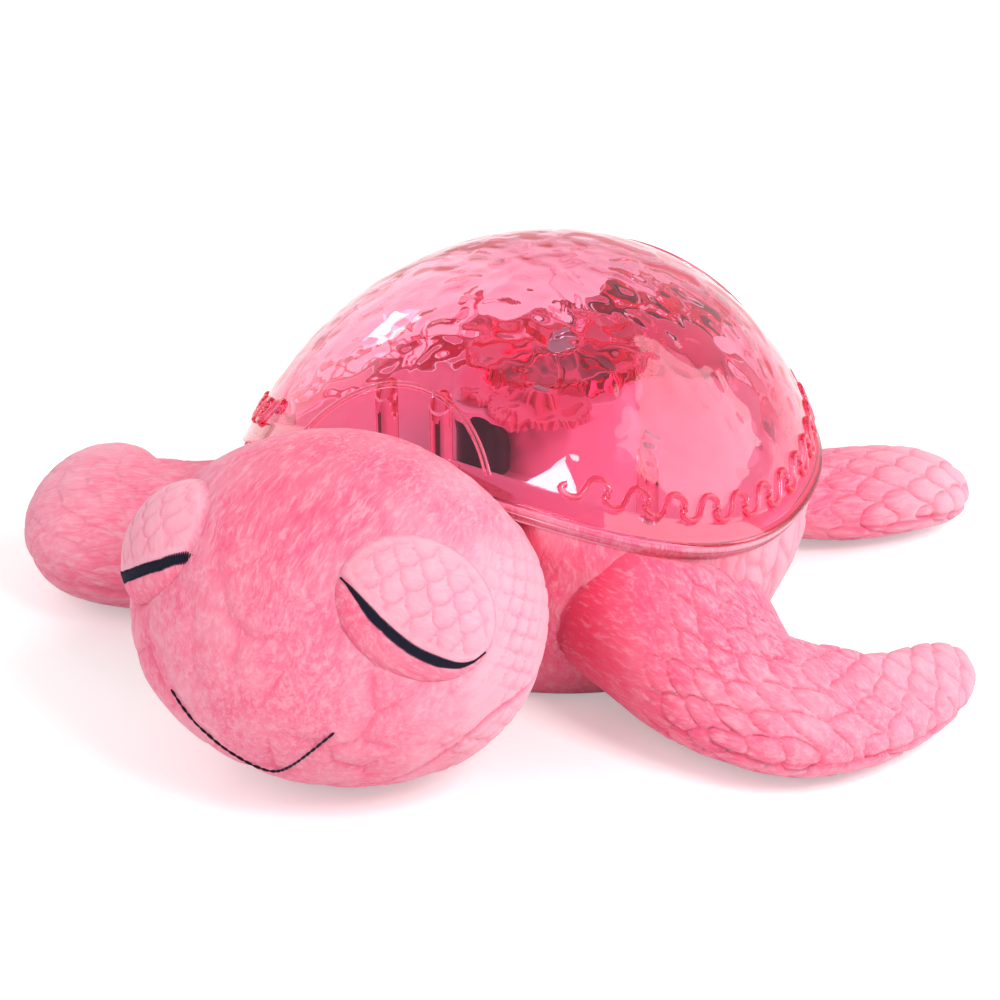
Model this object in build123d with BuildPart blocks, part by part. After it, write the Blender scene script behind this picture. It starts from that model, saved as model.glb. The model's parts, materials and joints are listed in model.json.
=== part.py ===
from build123d import *
import os
from math import acos, cos, pi, radians, sin, sqrt, tan

os.makedirs("parts", exist_ok=True)

# Turtle night light: a stuffed sea turtle whose shell is a clear dome over a turning ripple light.
# Millimetres, +Z up, the turtle faces -Y, the origin is on the floor under the middle of its outline.

# Fits and gaps
fixed_gap = 0.05        # round a screw or pin that stays where it is
running_gap = 0.3       # round a piece that turns or slides
soft_gap = 0.4          # between stuffed cloth and whatever it rests against

# Clear dome: a cap of an ellipsoid, with a rim that is level behind and rises in an arc over the neck
dome_half_width = 107.0
dome_half_length = 134.0
dome_crown = 115.0
dome_centre_y = 18.8
dome_centre_z = 30.5
dome_wall = 2.4
rim_height = 58.0
neck_rise_start = 22.0       # behind the dome's centre
neck_rise_radius = 200.0
band_height = 8.0
band_proud = 0.7
lip_height = 2.2
lip_proud = 2.0
arch_radius = 45.0
arch_top_z = 124.5
arch_ridge = 2.2
arch_proud = 0.9

# Deck under the dome, and the ring that the cloth is sewn to
deck_thickness = 2.5
deck_inset = 1.0
boss_radius = 5.0
boss_drop = 6.0
wire_hole_radius = 5.0
hem_ring_thickness = 2.0
hem_ring_inset = 3.0
hem_ring_width = 8.0

# Screws: one thread size for the mouldings, a finer one for the small pieces
screw_radius = 1.4
screw_head_radius = 2.8
screw_head_height = 1.8
fine_screw_radius = 1.0
fine_head_radius = 1.9
fine_head_height = 1.2
post_radius = 4.0
post_thread = 9.0
front_post = (11.0, 24.0)    # half spacing, then how far inside the front of the rim
side_post = (17.0, -48.0)    # how far inside the dome's side, then place along Y from its centre
rear_post = (20.0, 72.0)

# Tub under the deck: batteries, speaker and sound board
tub_half_width = 46.0
tub_half_length = 60.0
tub_back = 9.0           # its middle, behind the dome's centre
tub_corner = 14.0
tub_wall = 2.2
tub_floor = 4.2
tub_lift = 2.5
tub_room = 1.0
column_radius = 4.6
column_corner_inset = 10.0
column_height = 42.0
column_head_depth = 6.0

# Three AA cells side by side
cell_radius = 7.1
cell_length = 48.6
cell_nub_radius = 2.7
cell_nub_length = 1.5
cell_pitch = 15.0
cell_count = 3
contact_thickness = 0.5
contact_size = (10.0, 11.0)
bay_wall = 1.8
bay_room = 1.0
door_thickness = 2.0
door_ledge = 2.5
door_ear = 12.0
door_screw_length = 8.0

# Speaker
speaker_radius = 18.0
speaker_depth = 17.0
speaker_flange = 1.5
magnet_radius = 11.0
magnet_depth = 6.0
speaker_inset = 25.0     # its middle, from the tub's front
grille_hole = 1.5
grille_rings = (1, 6, 12)
grille_pitch = 5.2

# Sound board
board_thickness = 1.6
board_size = (56.0, 42.0)
board_hole_inset = 4.0
board_stand = 6.0
chip_size = (14.0, 10.0, 2.2)
capacitor_radius = 4.0
capacitor_height = 10.0

# Light tower and the ripple drive on its top plate
tower_back = 25.0        # its axis, behind the dome's centre
tower_radius = 31.0
tower_wall = 2.4
tower_ear = 5.0
tower_ear_height = 6.0
plate_z = 88.0
plate_thickness = 2.5
light_opening = 24.0
spoke_width = 4.0
spoke_count = 3
hub_radius = 5.5
hub_drop = 5.0
led_board_z = 70.0
led_ledge = 3.0
led_radius = 2.5
led_height = 6.0
led_circle = 11.0
led_count = 3

# Gears: one module for the whole train
gear_module = 1.0
gear_backlash = 0.28
gear_addendum = 0.78
gear_dedendum = 1.3
pressure_angle = 20.0
disc_teeth = 72
small_teeth = 12
wheel_teeth = 36
gear_gap = 1.0           # height left between pieces that turn past each other
first_gear_width = 3.5
second_gear_width = 4.0
idler_bearing = -70.0    # degrees about the tower's axis, from +X
motor_bearing = 183.0    # degrees about the idler's axis
disc_thickness = 2.0
disc_rib_count = 12
disc_rib_radius = 1.5
disc_rib_inset = 5.0
spindle_radius = 2.0
idler_pin_radius = 1.5
pin_head = 1.2

# Motor
motor_radius = 10.0
motor_length = 24.0
motor_boss_radius = 3.0
motor_boss_height = 1.5
motor_shaft_radius = 1.0
motor_screw_circle = 7.0
motor_screw_length = 4.5

# Push buttons on the tail side of the dome
button_height = 90.0
button_radius = 6.2
button_proud = 1.8
button_flange = 1.3
button_flange_step = 1.4
button_pitch = 20.0
button_count = 3
button_travel = 1.2
pad_proud = 1.0
pad_margin = 3.6
switch_size = (6.0, 6.0, 3.5)
plunger_radius = 1.7
plunger_height = 1.2
button_board_height = 15.0
bracket_thickness = 2.0
bracket_foot = 16.0

# Stuffed body: a bowl under the rim
body_tuck = 6.0          # how far the cloth lies inside the dome's side
body_tuck_ends = 8.0
body_half_height = 73.4
body_centre_z = 45.0
well_depth = 16.0
chest_lift = 50.0        # the form that draws the chest in: its middle above the body's
chest_spare_width = 15.0
chest_short = 31.6
chest_spare_height = 58.6

# Head, which nestles over the front of the dome
head_half_width = 75.0
head_half_length = 66.0
head_half_height = 60.5
head_lead = 4.0
eyelid_bearing = 52.0    # degrees from straight ahead
eyelid_rise = 29.0
eyelid_half_width = 30.0
eyelid_half_height = 23.0
eyelid_swell = 10.0
eyelid_slant = 34.0

# Flippers, each stuffed so full that its sections are ovals:
# X and Y from where its middle leaves the body, heading, width, thickness and height of the underside
panel_points = 8         # steps of each panel's curve across the limb
front_root = -20.0       # degrees round the body, from +X
front_stations = (
    (-40.0, 14.0, -15.0, 84.0, 48.0, 8.0),
    (-23.0, 9.0, -14.0, 88.0, 52.0, 6.0),
    (-7.0, 3.0, -13.0, 88.0, 53.0, 4.0),
    (9.0, -3.0, -9.0, 85.0, 51.0, 1.5),
    (29.5, -8.0, -3.0, 80.0, 45.0, 0.6),
    (48.5, -6.0, 8.0, 75.0, 39.0, 0.6),
    (58.0, 3.0, 20.0, 69.0, 34.0, 0.8),
    (65.0, 16.0, 33.0, 58.0, 30.0, 1.0),
    (71.0, 33.0, 47.0, 44.0, 26.0, 2.0),
    (74.5, 47.0, 58.0, 32.0, 21.0, 4.0),
    (76.5, 58.0, 63.0, 16.0, 12.0, 7.5),
)
# The right front flipper lies further forward, with a fuller bend
front_right_stations = front_stations[:3] + (
    (9.0, -5.0, -11.0, 86.0, 51.0, 1.5),
    (29.5, -14.0, -9.0, 84.0, 48.0, 0.6),
    (45.0, -18.0, 2.0, 80.0, 47.0, 0.6),
    (55.4, -12.0, 18.0, 75.0, 46.0, 0.6),
    (61.9, -1.0, 36.0, 66.0, 44.0, 0.6),
    (65.9, 13.0, 53.0, 55.0, 40.0, 1.0),
    (67.9, 26.0, 64.0, 42.0, 32.0, 2.0),
    (69.4, 37.0, 68.0, 24.0, 18.0, 6.0),
)
rear_root = 56.0
rear_stations = (
    (-12.0, -10.0, 42.0, 44.0, 31.0, 5.0),
    (9.0, 7.0, 42.0, 54.0, 33.0, 2.0),
    (25.0, 22.0, 45.0, 55.0, 30.0, 1.0),
    (38.0, 36.0, 48.0, 46.0, 25.0, 1.5),
    (46.0, 44.0, 50.0, 31.0, 19.0, 3.0),
    (50.0, 48.44, 52.0, 14.0, 10.0, 7.0),
)
tail_stations = (
    (0.0, -14.0, 90.0, 36.0, 24.0, 8.0),
    (0.0, 4.0, 90.0, 34.0, 21.0, 8.0),
    (0.0, 16.0, 90.0, 24.0, 15.0, 10.0),
    (0.0, 26.0, 90.0, 10.0, 7.0, 13.0),
)

# Places worked out from the sizes above
rim_line_y = dome_centre_y + neck_rise_start
tub_y = dome_centre_y + tub_back
tower_y = dome_centre_y + tower_back
body_half_width = dome_half_width - body_tuck
body_half_length = dome_half_length - body_tuck_ends
head_y = dome_centre_y - body_half_length - head_lead
dome_top = dome_centre_z + dome_crown


def rim_z(y):
    """Height of the rim at that place along the turtle."""
    ahead = max(rim_line_y - y, 0.0)
    return rim_height + neck_rise_radius - sqrt(neck_rise_radius**2 - ahead**2)


def ellipsoid(half_width, half_length, half_height, centre, turn=(0, 0, 0)):
    """A stretched ball; turn lays its poles where the piece is cut or hidden."""
    with BuildPart() as form:
        Sphere(radius=1, rotation=turn)
        scale(by=(half_width, half_length, half_height))
    return form.part.moved(Location(centre))


def dome_form(grow):
    """The dome's outer form as a whole ellipsoid, larger by grow all round."""
    centre = (0, dome_centre_y, dome_centre_z)
    return ellipsoid(dome_half_width + grow, dome_half_length + grow, dome_crown + grow, centre)


def body_form(grow):
    """The stuffed body: an ellipsoid whose front half is drawn in by a second, taller one."""
    middle = (0, dome_centre_y, body_centre_z)
    half = (body_half_width + grow, body_half_length + grow, body_half_height + grow)
    whole = ellipsoid(*half, middle)
    chest_middle = (0, dome_centre_y, body_centre_z + chest_lift)
    chest = ellipsoid(half[0] + chest_spare_width, half[1] - chest_short, half[2] + chest_spare_height, chest_middle)
    reach = 4 * body_half_length
    with BuildPart() as form:
        add(chest)
        with Locations(chest_middle):
            Box(reach, reach, reach, align=(Align.CENTER, Align.MIN, Align.CENTER))
        add(whole, mode=Mode.INTERSECT)
    return form.part


def head_form(grow):
    centre = (0, head_y, head_half_height + soft_gap)
    half = (head_half_width + grow, head_half_length + grow, head_half_height + grow)
    return ellipsoid(*half, centre, turn=(90, 0, 0))


def above_rim(offset):
    """All the space above the rim's curve, with the curve moved up by offset."""
    reach = 2 * (dome_half_length + dome_crown)
    sweep = 75
    with BuildPart() as space:
        with BuildSketch(Plane.YZ):
            with BuildLine():
                level = rim_height + offset
                back = (rim_line_y + reach, level)
                turning = (rim_line_y, rim_height + neck_rise_radius)
                rise = CenterArc(turning, neck_rise_radius - offset, 270, -sweep)
                Polyline(rise @ 1, ((rise @ 1).X, reach), (back[0], reach), back, (rim_line_y, level))
            make_face()
        extrude(amount=reach, both=True)
    return space.part


def dome_half_width_at(y, z):
    """Half width of the dome's outer form at that height and place along the turtle."""
    along = (y - dome_centre_y) / dome_half_length
    high = (z - dome_centre_z) / dome_crown
    return dome_half_width * sqrt(1 - along**2 - high**2)


def front_of_rim():
    """Where the rim crosses the front of the dome's outer form, found by halving."""
    low, high = dome_centre_y - dome_half_length, dome_centre_y
    for _ in range(40):
        middle = (low + high) / 2
        along = (middle - dome_centre_y) / dome_half_length
        surface = dome_centre_z + dome_crown * sqrt(1 - along**2)
        low, high = (low, middle) if surface > rim_z(middle) else (middle, high)
    return high


def screw(radius, length, head_radius, head_height):
    """A pan-head screw along +Z, its head's seat at the origin and its shank below."""
    with BuildPart() as fastener:
        Cylinder(radius, length, align=(Align.CENTER, Align.CENTER, Align.MAX))
        Cylinder(head_radius, head_height, align=(Align.CENTER, Align.CENTER, Align.MIN))
        fillet(fastener.faces().sort_by(Axis.Z)[-1].edges(), head_height / 3)
    return fastener.part


def screws_at(places, turned_over, radius, length, head_radius, head_height):
    """The same screw at each place, as a group of separate solids."""
    one = screw(radius, length, head_radius, head_height)
    turn = Location((0, 0, 0), (180, 0, 0)) if turned_over else Location((0, 0, 0))
    return Compound(children=[one.moved(Location(place) * turn) for place in places])


def gear(teeth, phase, width, plane):
    """A spur gear with straight-sided involute teeth; phase is the angle of one tooth's middle."""
    pitch = gear_module * teeth / 2
    base = pitch * cos(radians(pressure_angle))
    tip = pitch + gear_addendum * gear_module
    root = pitch - gear_dedendum * gear_module
    involute_at_pitch = tan(radians(pressure_angle)) - radians(pressure_angle)

    def half_angle(radius):
        lean = acos(base / max(radius, base))
        tooth = pi / (2 * teeth) - gear_backlash / (4 * pitch)
        return tooth + involute_at_pitch - (tan(lean) - lean)

    flank = [root, max(base, root + gear_module / 4), pitch, tip]
    outline = []
    for number in range(teeth):
        middle = radians(phase) + 2 * pi * number / teeth
        for radius in flank:
            angle = middle - half_angle(radius)
            outline.append((radius * cos(angle), radius * sin(angle)))
        for radius in reversed(flank):
            angle = middle + half_angle(radius)
            outline.append((radius * cos(angle), radius * sin(angle)))
    with BuildPart() as wheel:
        with BuildSketch(plane):
            with BuildLine():
                Polyline(*outline, close=True)
            make_face()
        extrude(amount=width)
    return wheel.part


def stuffed_limb(root_place, stations):
    """A limb sewn from two panels and stuffed until its sections are ovals."""
    with BuildPart() as limb:
        for x, y, heading, width, thickness, underside in stations:
            centre = (root_place[0] + x, root_place[1] + y, underside + thickness / 2)
            forward = (cos(radians(heading)), sin(radians(heading)), 0)
            sideways = (-forward[1], forward[0], 0)
            turns = [pi * number / panel_points for number in range(panel_points + 1)]
            upper = [(cos(turn) * width / 2, sin(turn) * thickness / 2) for turn in turns]
            with BuildSketch(Plane(origin=centre, x_dir=sideways, z_dir=forward)):
                with BuildLine():
                    Spline(*upper)
                    Spline(*[(-across, -rise) for across, rise in upper])
                make_face()
        loft()
    return limb.part


def body_side(bearing):
    """A point on the body's widest line, at that bearing from +X."""
    return (
        body_half_width * cos(radians(bearing)),
        dome_centre_y + body_half_length * sin(radians(bearing)),
    )


# Fastening places shared by the dome, the deck, the tub and the tower
front_rim_y = front_of_rim()
front_post_y = front_rim_y + front_post[1]
side_post_y = dome_centre_y + side_post[1]
rear_post_y = dome_centre_y + rear_post[1]
post_places = []
for half, y in (
    (front_post[0], front_post_y),
    (dome_half_width_at(side_post_y, rim_z(side_post_y)) - side_post[0], side_post_y),
    (dome_half_width_at(rear_post_y, rim_z(rear_post_y)) - rear_post[0], rear_post_y),
):
    post_places += [(half, y), (-half, y)]
column_half_x = tub_half_width - column_corner_inset
column_half_y = tub_half_length - column_corner_inset
column_places = [(sx * column_half_x, tub_y + sy * column_half_y) for sx in (-1, 1) for sy in (-1, 1)]
column_top = tub_lift + column_height
ear_reach = tower_radius + tower_ear - 1.0
ear_bearings = (20, 90, 160)
ear_places = [
    (ear_reach * cos(radians(bearing)), tower_y + ear_reach * sin(radians(bearing)))
    for bearing in ear_bearings
]

# Gear train places, worked out from the teeth
disc_pitch = gear_module * disc_teeth / 2
small_pitch = gear_module * small_teeth / 2
wheel_pitch = gear_module * wheel_teeth / 2
idler_reach = disc_pitch + small_pitch
idler_place = (idler_reach * cos(radians(idler_bearing)), tower_y + idler_reach * sin(radians(idler_bearing)))
motor_reach = wheel_pitch + small_pitch
motor_place = (
    idler_place[0] + motor_reach * cos(radians(motor_bearing)),
    idler_place[1] + motor_reach * sin(radians(motor_bearing)),
)
plate_top = plate_z + plate_thickness
first_gear_z = plate_top + fine_head_height + running_gap
second_gear_z = first_gear_z + first_gear_width + gear_gap
disc_top = second_gear_z + second_gear_width

# Button panel: a plane on the tail side of the dome, square to its surface
panel_rise = (button_height - dome_centre_z) / dome_crown
panel_back = dome_half_length * sqrt(1 - panel_rise**2)
panel_y = dome_centre_y + panel_back
panel_normal = Vector(0, panel_back / dome_half_length**2, panel_rise / dome_crown).normalized()
panel_origin = Vector(0, panel_y, button_height) + panel_normal * pad_proud
panel = Plane(origin=panel_origin, x_dir=(-1, 0, 0), z_dir=panel_normal)
button_row = [button_pitch * (number - (button_count - 1) / 2) for number in range(button_count)]
flange_radius = button_radius + button_flange_step


def wall_depth(across, up):
    """How deep below the panel plane the inside of the dome lies at that place on the panel."""
    start = panel.from_local_coords(Vector(across, up, 0))
    half = (dome_half_width - dome_wall, dome_half_length - dome_wall, dome_crown - dome_wall)
    point = (start.X / half[0], (start.Y - dome_centre_y) / half[1], (start.Z - dome_centre_z) / half[2])
    step = (-panel_normal.X / half[0], -panel_normal.Y / half[1], -panel_normal.Z / half[2])
    a = sum(s * s for s in step)
    b = sum(p * s for p, s in zip(point, step))
    c = sum(p * p for p in point) - 1
    return (-b - sqrt(b * b - a * c)) / a


edge_across = max(button_row) + flange_radius
flange_depth = max(wall_depth(edge_across, up) for up in (-flange_radius, 0, flange_radius)) + running_gap
plunger_depth = flange_depth + button_flange + button_travel + running_gap
switch_top_depth = plunger_depth + plunger_height
button_board_depth = switch_top_depth + switch_size[2]
bracket_depth = button_board_depth + board_thickness
button_board_width = 2 * max(button_row) + switch_size[0] + 2 * fine_head_radius + 8.0
bracket_middle = panel_origin - panel_normal * (bracket_depth + bracket_thickness / 2)
bracket_slide = (bracket_middle.Z - rim_height) / panel_normal.Y
bracket_foot_y = bracket_middle.Y + bracket_slide * panel_normal.Z
bracket_screw_places = [
    (side * (button_board_width / 2 - boss_radius), bracket_foot_y - bracket_foot / 2) for side in (-1, 1)
]
button_board_screw_row = [side * (button_board_width / 2 - fine_head_radius - 1.0) for side in (-1, 1)]

# Forms that the pieces are cut from
dome_outside = dome_form(0)
dome_inside = dome_form(-dome_wall)
over_rim = above_rim(0)
under_deck = -deck_thickness
under_ring = under_deck - hem_ring_thickness
over_deck_underside = above_rim(under_deck)
ring_inner_inset = hem_ring_inset + hem_ring_width

# Clear dome with its rim band, lip, screw posts, panel ridges and button pad
band_form = dome_form(band_proud)
over_band = above_rim(band_height)
with BuildPart() as rim_band:
    add(band_form)
    add(over_band, mode=Mode.SUBTRACT)

lip_form = dome_form(lip_proud)
over_lip = above_rim(lip_height)
with BuildPart() as rim_lip:
    add(lip_form)
    add(over_lip, mode=Mode.SUBTRACT)

ridge_form = dome_form(arch_proud)
with BuildPart() as arch_ridges:
    with BuildSketch(Plane.XZ.offset(-dome_centre_y)):
        with Locations((0, arch_top_z - arch_radius)):
            Circle(arch_radius)
            Circle(arch_radius - arch_ridge, mode=Mode.SUBTRACT)
    extrude(amount=2 * dome_half_length, both=True)
    add(ridge_form, mode=Mode.INTERSECT)

with BuildPart() as button_pad:
    with BuildSketch(panel):
        SlotOverall(2 * (max(button_row) + button_radius + pad_margin), 2 * (button_radius + pad_margin))
    extrude(amount=-flange_depth)
    fillet(button_pad.faces().sort_by(Axis(panel.origin, panel.z_dir))[-1].edges(), pad_proud * 0.8)

middle_of_wall = dome_form(-dome_wall / 2)
with BuildPart() as dome_posts:
    for place in post_places:
        with Locations((place[0], place[1], rim_height)):
            Cylinder(post_radius, dome_crown, align=(Align.CENTER, Align.CENTER, Align.MIN))
    add(middle_of_wall, mode=Mode.INTERSECT)

with BuildPart() as dome:
    add(dome_outside)
    add(rim_band.part)
    add(rim_lip.part)
    add(arch_ridges.part)
    add(button_pad.part)
    add(dome_inside, mode=Mode.SUBTRACT)
    add(dome_posts.part)
    add(over_rim, mode=Mode.INTERSECT)
    for place in post_places:
        with Locations((place[0], place[1], rim_z(place[1]))):
            Cylinder(screw_radius + fixed_gap, 2 * post_thread, mode=Mode.SUBTRACT)
    with BuildSketch(panel.offset(button_proud)):
        with Locations(*[(across, 0) for across in button_row]):
            Circle(button_radius + running_gap)
    extrude(amount=-(button_proud + flange_depth), mode=Mode.SUBTRACT)

# Deck: closes the dome from below and follows its rim
deck_form = dome_form(-deck_inset)
with BuildPart() as deck:
    add(deck_form)
    add(over_deck_underside, mode=Mode.INTERSECT)
    for place in post_places + ear_places + bracket_screw_places:
        with Locations((place[0], place[1], rim_z(place[1]))):
            Cylinder(boss_radius, 2 * (deck_thickness + boss_drop))
    for place in column_places:
        with Locations((place[0], place[1], column_top)):
            Cylinder(column_radius, dome_top - column_top, align=(Align.CENTER, Align.CENTER, Align.MIN))
    add(over_rim, mode=Mode.SUBTRACT)
    for place in post_places:
        with Locations((place[0], place[1], rim_z(place[1]))):
            Cylinder(screw_radius + running_gap, 4 * boss_drop, mode=Mode.SUBTRACT)
    for place in ear_places + bracket_screw_places:
        with Locations((place[0], place[1], rim_z(place[1]))):
            Cylinder(screw_radius + fixed_gap, 2 * boss_drop, mode=Mode.SUBTRACT)
    for place in column_places:
        with Locations((place[0], place[1], column_top)):
            Cylinder(screw_radius + fixed_gap, 2 * post_thread, mode=Mode.SUBTRACT)
    with Locations((motor_place[0], motor_place[1], rim_z(motor_place[1]))):
        Cylinder(wire_hole_radius, 4 * deck_thickness, mode=Mode.SUBTRACT)

# Ring under the deck's edge that the cloth is sewn to
ring_outside = dome_form(-hem_ring_inset)
ring_inside = dome_form(-ring_inner_inset)
over_ring_underside = above_rim(under_ring)
with BuildPart() as hem_ring:
    add(ring_outside)
    add(over_ring_underside, mode=Mode.INTERSECT)
    add(over_deck_underside, mode=Mode.SUBTRACT)
    add(ring_inside, mode=Mode.SUBTRACT)

# Tub with battery bay, speaker ring, screw columns and board stands
bay_length = cell_length + cell_nub_length + 2 * (contact_thickness + fixed_gap)
bay_breadth = cell_count * cell_pitch + bay_room
bay_roof = tub_lift + door_thickness + 2 * bay_room + 2 * cell_radius
tub_back_y = tub_y + tub_half_length
bay_y = tub_back_y - tub_wall - bay_wall - door_ledge - bay_breadth / 2
door_back = bay_y + bay_breadth / 2 + door_ledge
door_front = bay_y - bay_breadth / 2 - door_ledge - door_ear
door_width = bay_length + 2 * door_ledge
door_screw_place = (0, door_front + door_ear / 2)
speaker_place = (0, tub_y - tub_half_length + speaker_inset)
floor_top = tub_lift + tub_floor
stand_places = [
    (sx * (board_size[0] / 2 - board_hole_inset), bay_y + sy * (board_size[1] / 2 - board_hole_inset))
    for sx in (-1, 1)
    for sy in (-1, 1)
]
grille_places = [
    (ring * grille_pitch * cos(2 * pi * number / count), ring * grille_pitch * sin(2 * pi * number / count))
    for ring, count in enumerate(grille_rings)
    for number in range(count)
]
board_z = bay_roof + bay_wall + board_stand

with BuildPart() as tub:
    with BuildSketch(Plane.XY.offset(tub_lift)):
        with Locations((0, tub_y)):
            RectangleRounded(2 * tub_half_width, 2 * tub_half_length, tub_corner)
    extrude(amount=dome_top)
    with BuildSketch(Plane.XY.offset(floor_top)):
        with Locations((0, tub_y)):
            RectangleRounded(
                2 * (tub_half_width - tub_wall), 2 * (tub_half_length - tub_wall), tub_corner - tub_wall
            )
    extrude(amount=dome_top, mode=Mode.SUBTRACT)
    with BuildSketch(Plane.XY.offset(tub_lift)):
        with Locations((0, bay_y)):
            Rectangle(bay_length + 2 * bay_wall, bay_breadth + 2 * bay_wall)
    extrude(amount=bay_roof + bay_wall - tub_lift)
    with BuildSketch(Plane.XY.offset(tub_lift)):
        with Locations(*column_places, door_screw_place):
            Circle(column_radius)
    extrude(amount=door_thickness + door_screw_length)
    with BuildSketch(Plane.XY.offset(tub_lift)):
        with Locations(*column_places):
            Circle(column_radius)
    extrude(amount=column_height)
    with BuildSketch(Plane.XY.offset(floor_top)):
        with Locations(speaker_place):
            Circle(speaker_radius + fixed_gap + tub_wall)
            Circle(speaker_radius + fixed_gap, mode=Mode.SUBTRACT)
    extrude(amount=2 * speaker_flange)
    with BuildSketch(Plane.XY.offset(bay_roof + bay_wall)):
        with Locations(*stand_places):
            Circle(2.5 * fine_screw_radius)
    extrude(amount=board_stand)
    add(over_deck_underside, mode=Mode.SUBTRACT)
    with BuildSketch(Plane.XY.offset(tub_lift)):
        with Locations((0, bay_y)):
            Rectangle(bay_length, bay_breadth)
    extrude(amount=bay_roof - tub_lift, mode=Mode.SUBTRACT)
    with BuildSketch(Plane.XY.offset(tub_lift)):
        with Locations((0, (door_front + door_back) / 2)):
            Rectangle(door_width + 2 * running_gap, door_back - door_front + 2 * running_gap)
    extrude(amount=door_thickness + running_gap / 2, mode=Mode.SUBTRACT)
    with Locations((door_screw_place[0], door_screw_place[1], tub_lift)):
        Cylinder(screw_radius + fixed_gap, 2 * (door_thickness + door_screw_length), mode=Mode.SUBTRACT)
    for place in column_places:
        with Locations((place[0], place[1], tub_lift)):
            Cylinder(
                screw_head_radius + running_gap,
                column_height - column_head_depth,
                align=(Align.CENTER, Align.CENTER, Align.MIN),
                mode=Mode.SUBTRACT,
            )
            Cylinder(
                screw_radius + running_gap,
                column_height,
                align=(Align.CENTER, Align.CENTER, Align.MIN),
                mode=Mode.SUBTRACT,
            )
    for place in stand_places:
        with Locations((place[0], place[1], board_z)):
            Cylinder(fine_screw_radius + fixed_gap, 2 * board_stand, mode=Mode.SUBTRACT)
    with BuildSketch(Plane.XY.offset(tub_lift)):
        with Locations(speaker_place):
            with Locations(*grille_places):
                Circle(grille_hole)
    extrude(amount=tub_floor, mode=Mode.SUBTRACT)

# Battery door, flush with the tub's floor
with BuildPart() as battery_door:
    with BuildSketch(Plane.XY.offset(tub_lift)):
        with Locations((0, (door_front + door_back) / 2)):
            RectangleRounded(door_width, door_back - door_front, door_thickness)
    extrude(amount=door_thickness)
    with Locations((door_screw_place[0], door_screw_place[1], tub_lift)):
        Cylinder(screw_radius + fixed_gap, 4 * door_thickness, mode=Mode.SUBTRACT)
        Cylinder(screw_head_radius + running_gap, door_thickness, mode=Mode.SUBTRACT)
    with BuildSketch(Plane.XY.offset(tub_lift)):
        with Locations((0, door_back - 3 * door_thickness)):
            SlotOverall(door_width / 3, 2 * door_thickness)
    extrude(amount=door_thickness / 2, mode=Mode.SUBTRACT)

door_screw_seat = (door_screw_place[0], door_screw_place[1], tub_lift + door_thickness / 2)
door_screw = screws_at(
    [door_screw_seat], True, screw_radius, door_screw_length, screw_head_radius, screw_head_height
)

# Cells, turned end for end in turn, and the contact plates at their ends
cell_z = tub_lift + door_thickness + bay_room + cell_radius
cell_reach = (cell_length + cell_nub_length) / 2
cell_rows = [bay_y + cell_pitch * (number - (cell_count - 1) / 2) for number in range(cell_count)]
cell_solids = []
contact_solids = []
for number, y in enumerate(cell_rows):
    turn = 1 if number % 2 == 0 else -1
    with BuildPart(Plane(origin=(-turn * cell_reach, y, cell_z), z_dir=(turn, 0, 0))) as cell:
        standing = (Align.CENTER, Align.CENTER, Align.MIN)
        Cylinder(cell_radius, cell_length, align=standing)
        Cylinder(cell_nub_radius, cell_length + cell_nub_length, align=standing)
    cell_solids.append(cell.part.solid())
    for side in (-1, 1):
        with BuildPart() as contact:
            with Locations((side * (cell_reach + contact_thickness / 2), y, cell_z)):
                Box(contact_thickness, *contact_size)
        contact_solids.append(contact.part.solid())
aa_cells = Compound(children=cell_solids)
battery_contacts = Compound(children=contact_solids)

# Speaker, face down on the tub's grille
with BuildPart() as speaker:
    with BuildSketch(Plane(origin=(*speaker_place, floor_top), z_dir=(0, -1, 0), x_dir=(1, 0, 0))):
        with BuildLine():
            Polyline(
                (0, 2 * speaker_flange),
                (speaker_radius * 0.8, 0),
                (speaker_radius, 0),
                (speaker_radius, speaker_flange),
                (speaker_radius - speaker_flange, speaker_flange),
                (magnet_radius, speaker_depth - magnet_depth),
                (magnet_radius, speaker_depth),
                (0, speaker_depth),
                close=True,
            )
        make_face()
    revolve(axis=Axis((*speaker_place, 0), (0, 0, 1)))

# Sound board with its chip and capacitor
with BuildPart() as main_board:
    with BuildSketch(Plane.XY.offset(board_z)):
        with Locations((0, bay_y)):
            Rectangle(*board_size)
        with Locations(*stand_places):
            Circle(fine_screw_radius + fixed_gap, mode=Mode.SUBTRACT)
    extrude(amount=board_thickness)

board_top = board_z + board_thickness
with BuildPart() as sound_chip:
    with Locations((-board_size[0] / 5, bay_y, board_top)):
        Box(*chip_size, align=(Align.CENTER, Align.CENTER, Align.MIN))

with BuildPart() as capacitor:
    with Locations((board_size[0] / 4, bay_y, board_top)):
        Cylinder(capacitor_radius, capacitor_height, align=(Align.CENTER, Align.CENTER, Align.MIN))
    fillet(capacitor.faces().sort_by(Axis.Z)[-1].edges(), capacitor_radius / 8)

board_screws = screws_at(
    [(*place, board_top) for place in stand_places],
    False,
    fine_screw_radius,
    board_thickness + board_stand - 1.0,
    fine_head_radius,
    fine_head_height,
)
dome_screws = screws_at(
    [(x, y, rim_z(y) - deck_thickness - boss_drop) for x, y in post_places],
    True,
    screw_radius,
    deck_thickness + boss_drop + post_thread - 1.0,
    screw_head_radius,
    screw_head_height,
)
tub_screws = screws_at(
    [(*place, tub_lift + column_height - column_head_depth) for place in column_places],
    True,
    screw_radius,
    column_head_depth + post_thread - 1.0,
    screw_head_radius,
    screw_head_height,
)
tower_screws = screws_at(
    [(*place, rim_height + tower_ear_height) for place in ear_places],
    False,
    screw_radius,
    tower_ear_height + boss_drop - 1.0,
    screw_head_radius,
    screw_head_height,
)

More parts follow.
